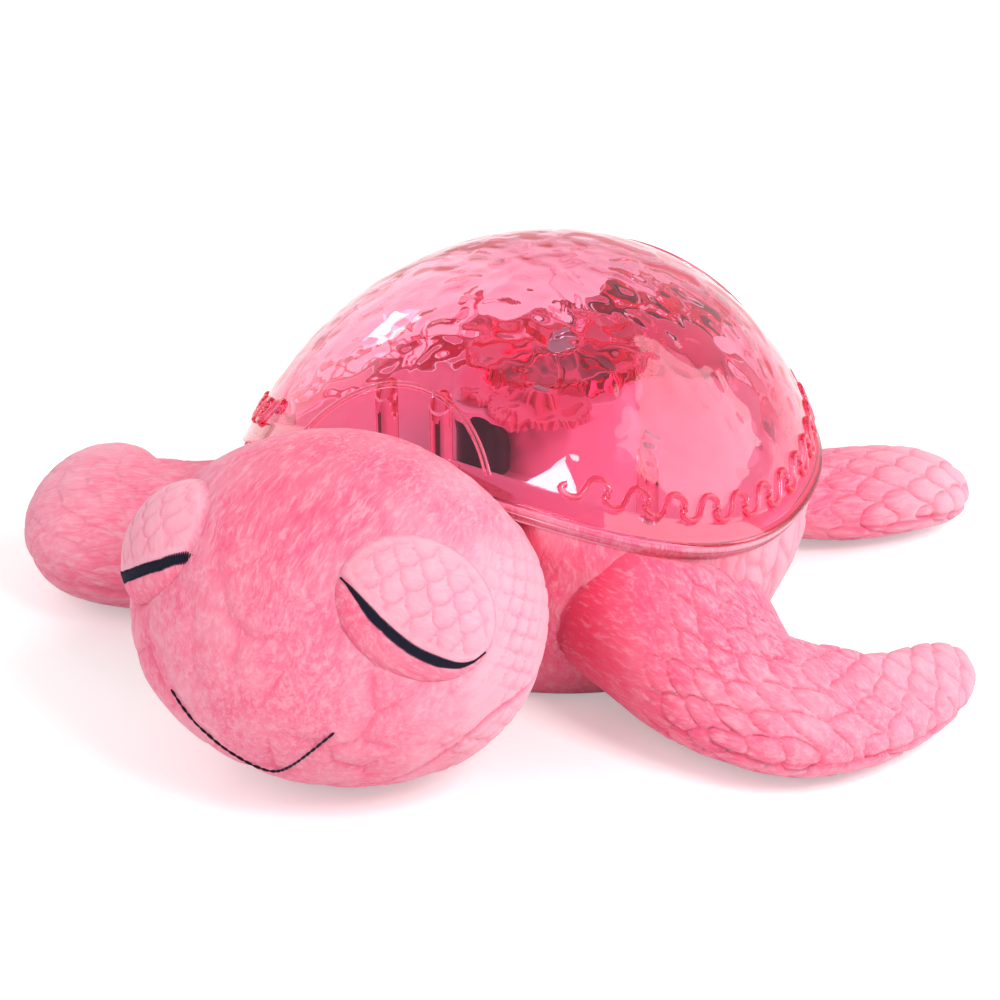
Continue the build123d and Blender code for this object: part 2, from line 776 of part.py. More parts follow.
# Light tower: a round wall on the deck, with a plate on top that carries the drive
motor_screw_places = [(motor_place[0] + side * motor_screw_circle, motor_place[1]) for side in (-1, 1)]
with BuildPart() as light_tower:
    with BuildSketch(Plane.XY.offset(rim_height)):
        with Locations((0, tower_y)):
            Circle(tower_radius)
            Circle(tower_radius - tower_wall, mode=Mode.SUBTRACT)
    extrude(amount=plate_z - rim_height)
    with BuildSketch(Plane.XY.offset(led_board_z - led_ledge)):
        with Locations((0, tower_y)):
            Circle(tower_radius - tower_wall / 2)
            Circle(tower_radius - tower_wall - led_ledge, mode=Mode.SUBTRACT)
    extrude(amount=led_ledge)
    with BuildSketch(Plane.XY.offset(rim_height)):
        with Locations(*ear_places):
            Circle(tower_ear)
            Circle(screw_radius + running_gap, mode=Mode.SUBTRACT)
    extrude(amount=tower_ear_height)
    with BuildSketch(Plane.XY.offset(plate_z)):
        with Locations((0, tower_y)):
            Circle(tower_radius)
        with Locations(motor_place):
            Circle(motor_radius + tower_wall)
        with Locations(idler_place):
            Circle(small_pitch + tower_wall)
        make_hull()
    extrude(amount=plate_thickness)
    with BuildSketch(Plane.XY.offset(plate_z)):
        with Locations((0, tower_y)):
            Circle(light_opening)
            for number in range(spoke_count):
                bearing = 90 + 360 * number / spoke_count
                reach = light_opening / 2
                with Locations((reach * cos(radians(bearing)), reach * sin(radians(bearing)))):
                    Rectangle(light_opening * 1.1, spoke_width, rotation=bearing, mode=Mode.SUBTRACT)
            Circle(hub_radius, mode=Mode.SUBTRACT)
    extrude(amount=plate_thickness, mode=Mode.SUBTRACT)
    with BuildSketch(Plane.XY.offset(plate_z)):
        with Locations((0, tower_y)):
            Circle(hub_radius)
    extrude(amount=-hub_drop)
    with BuildSketch(Plane.XY.offset(plate_z - hub_drop)):
        with Locations((0, tower_y)):
            Circle(spindle_radius + fixed_gap)
        with Locations(idler_place):
            Circle(idler_pin_radius + fixed_gap)
        with Locations(motor_place):
            Circle(motor_boss_radius + fixed_gap)
        with Locations(*motor_screw_places):
            Circle(fine_screw_radius + running_gap)
    extrude(amount=hub_drop + plate_thickness, mode=Mode.SUBTRACT)
    add(over_rim, mode=Mode.INTERSECT)

with BuildPart() as led_board:
    with BuildSketch(Plane.XY.offset(led_board_z)):
        with Locations((0, tower_y)):
            Circle(tower_radius - tower_wall - running_gap)
            Circle(wire_hole_radius, mode=Mode.SUBTRACT)
    extrude(amount=board_thickness)

led_solids = []
for number in range(led_count):
    bearing = radians(90 + 360 * (number + 0.5) / led_count)
    place = (led_circle * cos(bearing), tower_y + led_circle * sin(bearing), led_board_z + board_thickness)
    with BuildPart() as led:
        with Locations(place):
            Cylinder(led_radius, led_height - led_radius, align=(Align.CENTER, Align.CENTER, Align.MIN))
        with Locations((place[0], place[1], place[2] + led_height - led_radius)):
            Sphere(led_radius)
    led_solids.append(led.part.solid())
leds = Compound(children=led_solids)

# Ripple disc: a clear toothed disc with radial ribs, which throws moving light on the dome
rim_plane = Plane(origin=(0, tower_y, second_gear_z))
disc_blank = gear(disc_teeth, idler_bearing + 180 / disc_teeth, second_gear_width, rim_plane)
with BuildPart() as ripple_disc:
    add(disc_blank)
    with BuildSketch(rim_plane):
        Circle(disc_pitch - disc_rib_inset)
        Circle(hub_radius + tower_wall, mode=Mode.SUBTRACT)
    extrude(amount=second_gear_width - disc_thickness, mode=Mode.SUBTRACT)
    rib_start = hub_radius + 2 * tower_wall
    rib_length = disc_pitch - disc_rib_inset - rib_start
    for number in range(disc_rib_count):
        bearing = 2 * pi * number / disc_rib_count
        reach = rib_start + rib_length / 2
        middle = (reach * cos(bearing), tower_y + reach * sin(bearing), disc_top)
        with Locations(Location(middle, (0, 0, 360 * number / disc_rib_count))):
            Cylinder(disc_rib_radius, rib_length, rotation=(0, 90, 0))
    with Locations((0, tower_y, second_gear_z)):
        Cylinder(spindle_radius + running_gap, 4 * second_gear_width, mode=Mode.SUBTRACT)

with BuildPart() as disc_spindle:
    with Locations((0, tower_y, plate_z - hub_drop)):
        Cylinder(
            spindle_radius,
            disc_top + running_gap - plate_z + hub_drop,
            align=(Align.CENTER, Align.CENTER, Align.MIN),
        )
    with Locations((0, tower_y, plate_top)):
        Cylinder(
            hub_radius - 1.0,
            second_gear_z - plate_top - running_gap / 2,
            align=(Align.CENTER, Align.CENTER, Align.MIN),
        )
    with Locations((0, tower_y, disc_top)):
        Cylinder(fine_screw_radius + fixed_gap, 4 * second_gear_width, mode=Mode.SUBTRACT)

disc_screw = screws_at(
    [(0, tower_y, disc_top + running_gap)],
    False,
    fine_screw_radius,
    2 * second_gear_width - 1.0,
    2 * spindle_radius,
    screw_head_height,
)

# Idler: a large wheel driven by the motor, and a pinion that drives the disc
wheel_plane = Plane(origin=(*idler_place, first_gear_z))
idler_wheel = gear(wheel_teeth, motor_bearing, first_gear_width, wheel_plane)
pinion_plane = wheel_plane.offset(first_gear_width)
idler_pinion = gear(small_teeth, idler_bearing + 180, gear_gap + second_gear_width, pinion_plane)
with BuildPart() as idler_gear:
    add(idler_wheel)
    add(idler_pinion)
    with Locations((*idler_place, first_gear_z)):
        Cylinder(idler_pin_radius + running_gap, 6 * second_gear_width, mode=Mode.SUBTRACT)
    with BuildSketch(wheel_plane):
        with PolarLocations((small_pitch + wheel_pitch) / 2, 6):
            Circle((wheel_pitch - small_pitch) / 4)
    extrude(amount=first_gear_width, mode=Mode.SUBTRACT)

with BuildPart() as idler_pin:
    with Locations((*idler_place, plate_z)):
        Cylinder(
            idler_pin_radius, disc_top + running_gap - plate_z, align=(Align.CENTER, Align.CENTER, Align.MIN)
        )
    with Locations((*idler_place, plate_top)):
        Cylinder(
            2 * idler_pin_radius,
            first_gear_z - plate_top - running_gap / 2,
            align=(Align.CENTER, Align.CENTER, Align.MIN),
        )
    with Locations((*idler_place, disc_top + running_gap)):
        Cylinder(2 * idler_pin_radius, pin_head, align=(Align.CENTER, Align.CENTER, Align.MIN))

# Motor, its shaft and pinion
with BuildPart() as motor:
    with Locations((*motor_place, plate_z)):
        Cylinder(motor_radius, motor_length, align=(Align.CENTER, Align.CENTER, Align.MAX))
    fillet(motor.edges().filter_by(GeomType.CIRCLE), motor_radius / 10)
    with Locations((*motor_place, plate_z)):
        Cylinder(motor_boss_radius, motor_boss_height, align=(Align.CENTER, Align.CENTER, Align.MIN))
        Cylinder(motor_shaft_radius + running_gap, motor_length, mode=Mode.SUBTRACT)
    for place in motor_screw_places:
        with Locations((*place, plate_z)):
            Cylinder(fine_screw_radius + fixed_gap, 2 * motor_screw_length, mode=Mode.SUBTRACT)

with BuildPart() as motor_shaft:
    with Locations((*motor_place, plate_z - motor_length / 3)):
        Cylinder(
            motor_shaft_radius,
            first_gear_z + first_gear_width - plate_z + motor_length / 3,
            align=(Align.CENTER, Align.CENTER, Align.MIN),
        )

pinion_phase = motor_bearing + 180 + 180 / small_teeth
pinion_blank = gear(small_teeth, pinion_phase, first_gear_width, Plane(origin=(*motor_place, first_gear_z)))
with BuildPart() as motor_pinion:
    add(pinion_blank)
    with Locations((*motor_place, first_gear_z)):
        Cylinder(motor_shaft_radius + fixed_gap, 4 * first_gear_width, mode=Mode.SUBTRACT)

motor_screws = screws_at(
    [(*place, plate_top) for place in motor_screw_places],
    False,
    fine_screw_radius,
    motor_screw_length,
    fine_head_radius,
    fine_head_height,
)


def push_button(across):
    """A round key with a flange behind the dome's wall, so that it can't fall out."""
    with BuildPart() as key:
        with BuildSketch(panel.offset(button_proud)):
            with Locations((across, 0)):
                Circle(button_radius)
        extrude(amount=-(button_proud + flange_depth + button_flange))
        fillet(key.faces().sort_by(Axis(panel.origin, panel.z_dir))[-1].edges(), button_proud / 2)
        with BuildSketch(panel.offset(-flange_depth)):
            with Locations((across, 0)):
                Circle(flange_radius)
        extrude(amount=-button_flange)
    return key.part


with BuildPart() as button_board:
    with BuildSketch(panel.offset(-button_board_depth)):
        Rectangle(button_board_width, button_board_height)
        with Locations(*[(across, 0) for across in button_board_screw_row]):
            Circle(fine_screw_radius + fixed_gap, mode=Mode.SUBTRACT)
    extrude(amount=-board_thickness)

switch_solids = []
for across in button_row:
    with BuildPart() as switch:
        with BuildSketch(panel.offset(-switch_top_depth)):
            with Locations((across, 0)):
                Rectangle(switch_size[0], switch_size[1])
        extrude(amount=-switch_size[2])
        with BuildSketch(panel.offset(-switch_top_depth)):
            with Locations((across, 0)):
                Circle(plunger_radius)
        extrude(amount=plunger_height)
    switch_solids.append(switch.part.solid())
tact_switches = Compound(children=switch_solids)

# Bracket that stands on the deck and carries the button board
bracket_reach = bracket_slide + button_board_height
with BuildPart() as button_bracket:
    with BuildSketch(panel.offset(-bracket_depth)):
        with Locations((0, (button_board_height / 2 - bracket_reach) / 2)):
            Rectangle(button_board_width, button_board_height / 2 + bracket_reach)
        with Locations(*[(across, 0) for across in button_board_screw_row]):
            Circle(fine_screw_radius + fixed_gap, mode=Mode.SUBTRACT)
    extrude(amount=-bracket_thickness)
    with BuildSketch(Plane.XY.offset(rim_height)):
        with Locations((0, bracket_foot_y - bracket_foot / 2)):
            Rectangle(button_board_width, bracket_foot)
    extrude(amount=bracket_thickness)
    add(over_rim, mode=Mode.INTERSECT)
    for place in bracket_screw_places:
        with Locations((*place, rim_height)):
            Cylinder(screw_radius + running_gap, 4 * bracket_thickness, mode=Mode.SUBTRACT)

bracket_screws = screws_at(
    [(*place, rim_height + bracket_thickness) for place in bracket_screw_places],
    False,
    screw_radius,
    bracket_thickness + boss_drop - 1.0,
    screw_head_radius,
    screw_head_height,
)
board_grip = board_thickness + bracket_thickness
one_board_screw = screw(fine_screw_radius, board_grip, fine_head_radius, fine_head_height)
button_board_screws = Compound(
    children=[
        one_board_screw.moved(panel.location * Location((across, 0, -button_board_depth)))
        for across in button_board_screw_row
    ]
)

# Stuffed body: sewn to the ring under the deck, and open underneath for the tub
well_form = dome_form(-ring_inner_inset - soft_gap)
over_well_floor = above_rim(-well_depth)
with BuildPart() as body_well:
    add(well_form)
    add(over_well_floor, mode=Mode.INTERSECT)

body_outside = body_form(0)
over_body = above_rim(under_ring - soft_gap)
with BuildPart() as plush_body:
    add(body_outside)
    add(over_body, mode=Mode.SUBTRACT)
    add(body_well.part, mode=Mode.SUBTRACT)
    split(bisect_by=Plane.XY, keep=Keep.TOP)
    with BuildSketch(Plane.XY):
        with Locations((0, tub_y)):
            RectangleRounded(
                2 * (tub_half_width + tub_room), 2 * (tub_half_length + tub_room), tub_corner + tub_room
            )
    extrude(amount=dome_top, mode=Mode.SUBTRACT)

# Head: rests on the floor by its chin, and is cut by the body and the front of the dome
seat_form = dome_form(lip_proud + soft_gap)
over_seat = above_rim(under_ring - 2 * soft_gap)
with BuildPart() as shell_seat:
    add(seat_form)
    add(over_seat, mode=Mode.INTERSECT)

head_outside = head_form(0)
body_clear = body_form(soft_gap)
with BuildPart() as head:
    add(head_outside)
    add(shell_seat.part, mode=Mode.SUBTRACT)
    add(body_clear, mode=Mode.SUBTRACT)


def eyelid():
    """A padded lid on the left of the head, slanting down towards the outside."""
    bearing, rise = radians(eyelid_bearing), radians(eyelid_rise)
    out = (sin(bearing) * cos(rise), -cos(bearing) * cos(rise), sin(rise))
    half = (head_half_width, head_half_length, head_half_height)
    place = Vector(half[0] * out[0], head_y + half[1] * out[1], half[2] * (1 + out[2]) + soft_gap)
    normal = Vector(*(o / h for o, h in zip(out, half))).normalized()
    level = Vector(-normal.Y, normal.X, 0).normalized()
    uphill = normal.cross(level)
    along = level * cos(radians(eyelid_slant)) - uphill * sin(radians(eyelid_slant))
    lens = ellipsoid(eyelid_half_width, eyelid_half_height, eyelid_swell, (0, 0, 0))
    head_clear = head_form(soft_gap)
    with BuildPart() as lid:
        add(lens.moved(Plane(origin=place, x_dir=along, z_dir=normal).location))
        add(head_clear, mode=Mode.SUBTRACT)
    return lid.part


def left_limb(root_place, stations):
    """A limb cut off where it meets the body."""
    whole = stuffed_limb(root_place, stations)
    with BuildPart() as limb:
        add(whole)
        add(body_clear, mode=Mode.SUBTRACT)
    return limb.part


eyelid_left = eyelid()
flipper_front_left = left_limb(body_side(front_root), front_stations)
flipper_front_right = left_limb(body_side(front_root), front_right_stations).mirror(Plane.YZ)
flipper_rear_left = left_limb(body_side(rear_root), rear_stations)
tail = left_limb(body_side(90), tail_stations)

pieces = {
    "dome": dome.part,
    "deck": deck.part,
    "hem_ring": hem_ring.part,
    "dome_screws": dome_screws,
    "tub": tub.part,
    "tub_screws": tub_screws,
    "battery_door": battery_door.part,
    "door_screw": door_screw,
    "aa_cells": aa_cells,
    "battery_contacts": battery_contacts,
    "speaker": speaker.part,
    "main_board": main_board.part,
    "sound_chip": sound_chip.part,
    "capacitor": capacitor.part,
    "board_screws": board_screws,
    "light_tower": light_tower.part,
    "tower_screws": tower_screws,
    "led_board": led_board.part,
    "leds": leds,
    "ripple_disc": ripple_disc.part,
    "disc_spindle": disc_spindle.part,
    "disc_screw": disc_screw,
    "idler_gear": idler_gear.part,
    "idler_pin": idler_pin.part,
    "motor": motor.part,
    "motor_shaft": motor_shaft.part,
    "motor_pinion": motor_pinion.part,
    "motor_screws": motor_screws,
    "button_board": button_board.part,
    "tact_switches": tact_switches,
    "button_bracket": button_bracket.part,
    "bracket_screws": bracket_screws,
    "button_board_screws": button_board_screws,
    "plush_body": plush_body.part,
    "head": head.part,
    "eyelid_left": eyelid_left,
    "eyelid_right": eyelid_left.mirror(Plane.YZ),
    "flipper_front_left": flipper_front_left,
    "flipper_front_right": flipper_front_right,
    "flipper_rear_left": flipper_rear_left,
    "flipper_rear_right": flipper_rear_left.mirror(Plane.YZ),
    "tail": tail,
}
for name, across in zip(("button_light", "button_wave", "button_sound"), button_row):
    pieces[name] = push_button(across)
for name, piece in pieces.items():
    piece.label = name
    export_step(piece, f"parts/{name}.step")
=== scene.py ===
# %% [markdown]
# # Turtle night light
# A stuffed sea turtle sleeps with its chin on the floor, and its shell is a clear, rippled dome over a turning
# light. The frame brings every moulded piece at its real size, in metres. This lesson dresses it: stuffed plush
# in place of the plain soft solids, embroidery, a see-through shell, and a finish for every piece inside.

# %% Load the frame
import json
from itertools import product
from math import cos, pi, radians, sin

import bmesh
import bpy
import numpy as np
from mathutils import Matrix, Vector
from mathutils.bvhtree import BVHTree
from mathutils.kdtree import KDTree

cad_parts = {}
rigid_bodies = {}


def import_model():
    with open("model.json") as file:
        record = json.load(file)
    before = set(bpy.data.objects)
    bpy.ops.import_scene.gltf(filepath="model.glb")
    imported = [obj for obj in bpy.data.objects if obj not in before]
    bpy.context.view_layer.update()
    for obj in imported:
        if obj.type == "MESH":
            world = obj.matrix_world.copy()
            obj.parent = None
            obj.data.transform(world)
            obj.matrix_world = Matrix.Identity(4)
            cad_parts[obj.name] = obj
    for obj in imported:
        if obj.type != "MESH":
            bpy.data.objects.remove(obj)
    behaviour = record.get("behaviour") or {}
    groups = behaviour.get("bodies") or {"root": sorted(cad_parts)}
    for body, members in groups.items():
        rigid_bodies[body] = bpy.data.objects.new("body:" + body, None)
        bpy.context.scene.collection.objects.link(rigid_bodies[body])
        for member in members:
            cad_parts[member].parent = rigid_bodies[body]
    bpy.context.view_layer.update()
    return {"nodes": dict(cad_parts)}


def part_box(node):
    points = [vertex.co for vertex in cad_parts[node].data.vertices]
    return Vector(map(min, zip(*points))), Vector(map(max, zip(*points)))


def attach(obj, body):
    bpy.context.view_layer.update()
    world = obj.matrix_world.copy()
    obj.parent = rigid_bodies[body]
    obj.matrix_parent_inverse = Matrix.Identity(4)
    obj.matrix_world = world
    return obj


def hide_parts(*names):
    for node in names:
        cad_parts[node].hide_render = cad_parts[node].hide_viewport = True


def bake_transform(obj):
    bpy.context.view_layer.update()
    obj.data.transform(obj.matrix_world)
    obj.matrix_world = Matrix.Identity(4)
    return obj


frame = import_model()
nodes = frame["nodes"]
scene = bpy.context.scene

# %% [markdown]
# ## Camera
# The photograph looks down on the turtle from its left front with a long lens, so the shape is hardly widened by
# perspective. Two angles, a distance and a lens say it all. Depth of field stays off.

# %% Camera
camera_azimuth = radians(30.0)
camera_rise = radians(25.6)
camera_distance = 1.4
camera_aim = Vector((0.0, -0.0012, 0.055))
towards_camera = Vector((
    sin(camera_azimuth) * cos(camera_rise),
    -cos(camera_azimuth) * cos(camera_rise),
    sin(camera_rise),
))
camera = bpy.data.objects.new("camera", bpy.data.cameras.new("camera"))
camera.data.sensor_width = 36.0
camera.data.lens = 136.08
camera.location = camera_aim + camera_distance * towards_camera
camera.rotation_euler = towards_camera.to_track_quat("Z", "Y").to_euler()
scene.collection.objects.link(camera)
scene.camera = camera
scene.view_settings.view_transform = "Standard"
print("camera at", tuple(round(v, 3) for v in camera.location))

# %% [markdown]
# ## Small helpers for node trees
# Shaders and Geometry Nodes are both trees of nodes. One helper adds a node, sets it and wires it, so that a tree
# reads from top to bottom like a recipe.

# %% Node helpers
def wire(tree, node, inputs):
    """Sets a node. inputs maps a socket's name or number to a value, or to the output that feeds it."""
    for key, value in inputs.items():
        if isinstance(value, bpy.types.NodeSocket):
            tree.links.new(value, node.inputs[key])
        else:
            node.inputs[key].default_value = value


def put(tree, kind, inputs=None, **settings):
    """Adds a node and wires it. Gives all its outputs."""
    made = tree.nodes.new(kind)
    for key, value in settings.items():
        setattr(made, key, value)
    wire(tree, made, inputs or {})
    return made.outputs


def new_material(name):
    """A material with an empty recipe: its tree and its Principled shader."""
    material = bpy.data.materials.new(name)
    material.use_nodes = True
    return material, material.node_tree, material.node_tree.nodes["Principled BSDF"]


def mixed(tree, share, first, second):
    """A colour between two colours, or the outputs that give them."""
    first, second = ((*c, 1.0) if isinstance(c, tuple) else c for c in (first, second))
    return put(tree, "ShaderNodeMix", {"Factor": share, 6: first, 7: second}, data_type="RGBA")[2]


def maths(tree, operation, first, second=0.0):
    return put(tree, "ShaderNodeMath", {0: first, 1: second}, operation=operation)[0]


def between(tree, value, low=0.0, high=1.0, to_low=0.0, to_high=1.0):
    """A value's place between two others, clamped, and moved to lie between two more."""
    return put(tree, "ShaderNodeMapRange", {
        "Value": value, "From Min": low, "From Max": high, "To Min": to_low, "To Max": to_high})[0]


def own_place(tree):
    """Where a point lies on its piece."""
    return put(tree, "ShaderNodeTexCoord")["Object"]


def noise(tree, place, scale, **more):
    return put(tree, "ShaderNodeTexNoise", {"Vector": place, "Scale": scale, **more})


def bumped(tree, height, strength, distance):
    return put(tree, "ShaderNodeBump", {"Height": height, "Strength": strength, "Distance": distance})[0]


print("node helpers ready")

# %% [markdown]
# ## Floor and light
# The photograph was taken on white paper under large soft lamps. The paper takes the shadow as a plain diffuse
# surface, and adds a little light of its own for the camera, for mirrors and for what is seen through the dome, so
# that it turns white without putting more light on the turtle. It adds more far away, where the lamps don't reach.
# The same is done for the sky above it.

# %% Floor and light
floor_half = 4.0
white = (1.0, 1.0, 1.0, 1.0)
floor_white = (0.9, 0.9, 0.9, 1.0)
paper_glow = 0.36
far_glow = 0.7
lamps_reach = (0.9, 2.6)
lamp_sizes = {
    "lamp_key": ((1.05, -0.45, 1.1), 0.5, 13.0),
    "lamp_back_right": ((1.1, 0.95, 0.75), 1.2, 11.0),
    "lamp_left": ((-1.25, 0.75, 0.7), 1.2, 3.6),
    "lamp_left_small": ((-1.2, 0.65, 0.9), 0.25, 1.3),
    "lamp_front": ((-0.5, -1.2, 0.9), 1.2, 6.3),
}
sky_light = 0.45
horizon_reflection = 0.8
overhead_reflection = 0.4
horizon_ends = 0.2
overhead_starts = 0.85


def seen_directly(tree):
    """1 for rays from the camera, off a mirror or through the clear dome, and 0 for light that only shines."""
    path = put(tree, "ShaderNodeLightPath")
    mirror = maths(tree, "MAXIMUM", path["Is Glossy Ray"], path["Is Transmission Ray"])
    return maths(tree, "MAXIMUM", path["Is Camera Ray"], mirror)


paper, tree, surface = new_material("paper")
away = put(tree, "ShaderNodeVectorMath", {0: own_place(tree)}, operation="LENGTH")["Value"]
glow = between(tree, away, *lamps_reach, paper_glow, far_glow)
wire(tree, surface, {
    "Base Color": floor_white, "Roughness": 1.0, "Specular IOR Level": 0.0, "Emission Color": white,
    "Emission Strength": maths(tree, "MULTIPLY", seen_directly(tree), glow)})

corners = [(x * floor_half, y * floor_half, 0.0) for x, y in ((-1, -1), (1, -1), (1, 1), (-1, 1))]
floor = bpy.data.objects.new("floor", bpy.data.meshes.new("floor"))
floor.data.from_pydata(corners, [], [(0, 1, 2, 3)])
floor.data.materials.append(paper)
scene.collection.objects.link(floor)

scene.world = bpy.data.worlds.new("studio")
scene.world.use_nodes = True
tree = scene.world.node_tree
height = put(tree, "ShaderNodeSeparateXYZ", {0: own_place(tree)})[2]
ceiling = between(tree, height, horizon_ends, overhead_starts, horizon_reflection, overhead_reflection)
off_mirror = put(tree, "ShaderNodeLightPath")["Is Glossy Ray"]
mirrored_sky = between(tree, off_mirror, to_low=1.0, to_high=ceiling)
strength = between(tree, seen_directly(tree), to_low=sky_light, to_high=mirrored_sky)
wire(tree, tree.nodes["Background"], {"Color": white, "Strength": strength})

for name, (place, size, power) in lamp_sizes.items():
    lamp = bpy.data.objects.new(name, bpy.data.lights.new(name, "AREA"))
    lamp.data.size = size
    lamp.data.energy = power
    lamp.location = place
    lamp.rotation_euler = (Vector(place) - camera_aim).to_track_quat("Z", "Y").to_euler()
    scene.collection.objects.link(lamp)
print("floor, sky and", len(lamp_sizes), "lamps")

# %% [markdown]
# ## Plush
# Short-nap plush is a cloth of fine upright threads that lean one way. From a step away they show as short
# streaks, painted lighter on their crests as painted light and deeper pink where the nap parts as painted shade.
# The streaks are a noise that is stretched along the nap. Three values kept on each piece's points say where
# deeper pink is painted as shade in the pressed-in grooves and seams, where it is painted as shade at the roots of
# the limbs, round the lids and under the dome, and where the pink is painted lighter as painted light. A sheen
# lightens what is seen edge on.

# %% Plush finish
plush_pale = (0.975, 0.46, 0.555)
plush_pink = (0.96, 0.285, 0.405)
plush_shade = (0.94, 0.145, 0.27)
plush_deepest_shade = (0.94, 0.075, 0.175)
nap_length = 0.0042
nap_width = 0.0010
cloud_size = 0.02
stir_scale = 70.0
stir_reach = 0.006
tuft_scale = 0.42
fine_share, tuft_share = 0.55, 0.45


def attribute(tree, name):
    return put(tree, "ShaderNodeAttribute", attribute_name=name)["Fac"]


def plush_finish(name, nap_turn, nap_height):
    """Pink plush whose nap leans along X turned by nap_turn."""
    material, tree, cloth = new_material(name)
    place = own_place(tree)
    stir = noise(tree, place, stir_scale)[1]
    stir = put(tree, "ShaderNodeVectorMath", {0: stir, "Scale": stir_reach}, operation="SCALE")[0]
    stirred = put(tree, "ShaderNodeVectorMath", {0: place, 1: stir}, operation="ADD")[0]
    lean = put(tree, "ShaderNodeMapping", {
        "Vector": stirred, "Rotation": nap_turn, "Scale": (nap_length, nap_width, nap_width)},
        vector_type="TEXTURE")[0]
    fine = noise(tree, lean, 1.0, Detail=3.0, Roughness=0.6)[0]
    tuft = noise(tree, lean, tuft_scale, Detail=1.0)[0]
    fine, tuft = maths(tree, "MULTIPLY", fine, fine_share), maths(tree, "MULTIPLY", tuft, tuft_share)
    streak = maths(tree, "ADD", fine, tuft)
    cloud = noise(tree, place, 1.0 / cloud_size, Detail=1.0)[0]
    # Painted shade: deeper pink in the partings of the nap, where the streak's bump is low.
    colour = mixed(tree, between(tree, streak, 0.38, 0.58), plush_shade, plush_pink)
    colour = mixed(tree, between(tree, cloud, 0.4, 0.68, 0.0, 0.4), colour, plush_pale)
    # Painted shade and painted light kept on the points: deeper pink in grooves, seams and shaded places, paler pink
    # where light falls.
    for kept, dye in (("painted_light", plush_pale), ("groove", plush_shade), ("painted_shade", plush_deepest_shade)):
        colour = mixed(tree, attribute(tree, kept), colour, dye)
    # Painted light: paler pink on the crests of the nap, where the streak's bump is high.
    colour = mixed(tree, between(tree, streak, 0.52, 0.68, 0.0, 0.5), colour, plush_pale)
    wire(tree, cloth, {
        "Base Color": colour, "Normal": bumped(tree, streak, 1.0, nap_height), "Roughness": 0.9,
        "Specular IOR Level": 0.12, "Sheen Weight": 0.3, "Sheen Roughness": 0.4,
        "Sheen Tint": (1.0, 0.74, 0.80, 1.0), "Subsurface Weight": 0.3, "Subsurface Radius": (1.0, 0.25, 0.35),
        "Subsurface Scale": 0.008})
    return material


print("plush: nap", nap_length, "by", nap_width)

# %% [markdown]
# ## Stuffing
# A stuffed limb is a sewn skin blown up by its filling. Each soft solid of the frame is copied, its triangles are
# joined, and a voxel remesh gives it even cloth. Then Blender's cloth simulation swells it with a little pressure.
# The movement is capped, and fades to nothing at the cut that is sewn to its neighbour, so the limb keeps its place.

# %% Helpers for meshes
def each_point(mesh, what):
    """Three numbers for each point of a mesh: its place, called co, or its normal."""
    flat = np.empty(len(mesh.vertices) * 3, np.float32)
    mesh.vertices.foreach_get(what, flat)
    return flat.reshape(-1, 3).astype(float)


def points_of(piece):
    return each_point(piece.data, "co")


def normals_of(piece):
    return each_point(piece.data, "normal")


def set_points(piece, points):
    piece.data.vertices.foreach_set("co", np.ascontiguousarray(points, np.float32).ravel())
    piece.data.update()


def keep_value(piece, name, values):
    """Stores one number for each point, for a finish to read."""
    kept = piece.data.attributes.get(name) or piece.data.attributes.new(name, "FLOAT", "POINT")
    kept.data.foreach_set("value", np.ascontiguousarray(values, np.float32))


def new_piece(name, mesh):
    piece = bpy.data.objects.new(name, mesh)
    scene.collection.objects.link(piece)
    return piece


def mesh_piece(name, points, edges=(), faces=()):
    """A piece of those points, edges and faces."""
    mesh = bpy.data.meshes.new(name)
    mesh.from_pydata(np.asarray(points).tolist(), edges, faces)
    return new_piece(name, mesh)


def reshape(mesh, work):
    """Has work done on a mesh, given as a bmesh."""
    shape = bmesh.new()
    shape.from_mesh(mesh)
    work(shape)
    shape.to_mesh(mesh)
    shape.free()


def closed_piece(name, points, faces):
    """A piece of those points and faces, with every face turned outwards."""
    piece = mesh_piece(name, points, faces=faces)
    reshape(piece.data, lambda shape: bmesh.ops.recalc_face_normals(shape, faces=shape.faces))
    return piece


def circle_points(count):
    """Points round a circle of radius 1."""
    turn = np.linspace(0, 2 * pi, count, endpoint=False)
    return np.column_stack((np.cos(turn), np.sin(turn)))


def evaluated(piece):
    return piece.evaluated_get(bpy.context.evaluated_depsgraph_get())


def keep_result(piece):
    """Makes what the piece's modifiers give its own mesh, and takes them off."""
    result = bpy.data.meshes.new_from_object(evaluated(piece))
    piece.modifiers.clear()
    piece.data = result


def with_modifier(piece, kind, **settings):
    modifier = piece.modifiers.new(kind.lower(), kind)
    for key, value in settings.items():
        setattr(modifier, key, value)
    keep_result(piece)


def skin_of(node, name):
    """A copy of a soft solid with its triangles joined along their edges."""
    mesh = nodes[node].data.copy()
    mesh.materials.clear()
    reshape(mesh, lambda shape: bmesh.ops.remove_doubles(shape, verts=shape.verts, dist=1e-5))
    return new_piece(name, mesh)


def smooth(piece):
    piece.data.polygons.foreach_set("use_smooth", [True] * len(piece.data.polygons))
    piece.data.update()


def fade(value):
    """A value held between 0 and 1."""
    return np.clip(value, 0, 1)


def dress(piece, painted_shade, painted_light, finish):
    """Keeps what a plush finish reads, and puts it on."""
    # Painted shade and painted light for the finish: deeper pink where shade falls, paler pink where light falls.
    keep_value(piece, "painted_shade", painted_shade)
    keep_value(piece, "painted_light", painted_light)
    piece.data.materials.append(finish)
    smooth(piece)


def run_of(line):
    """How far along a line each of its points lies."""
    return np.append(0.0, np.cumsum(np.linalg.norm(np.diff(line, axis=0), axis=1)))


def spots_on(line, run, places):
    """The points on a line at those distances along it."""
    return np.column_stack([np.interp(places, run, column) for column in line.T])


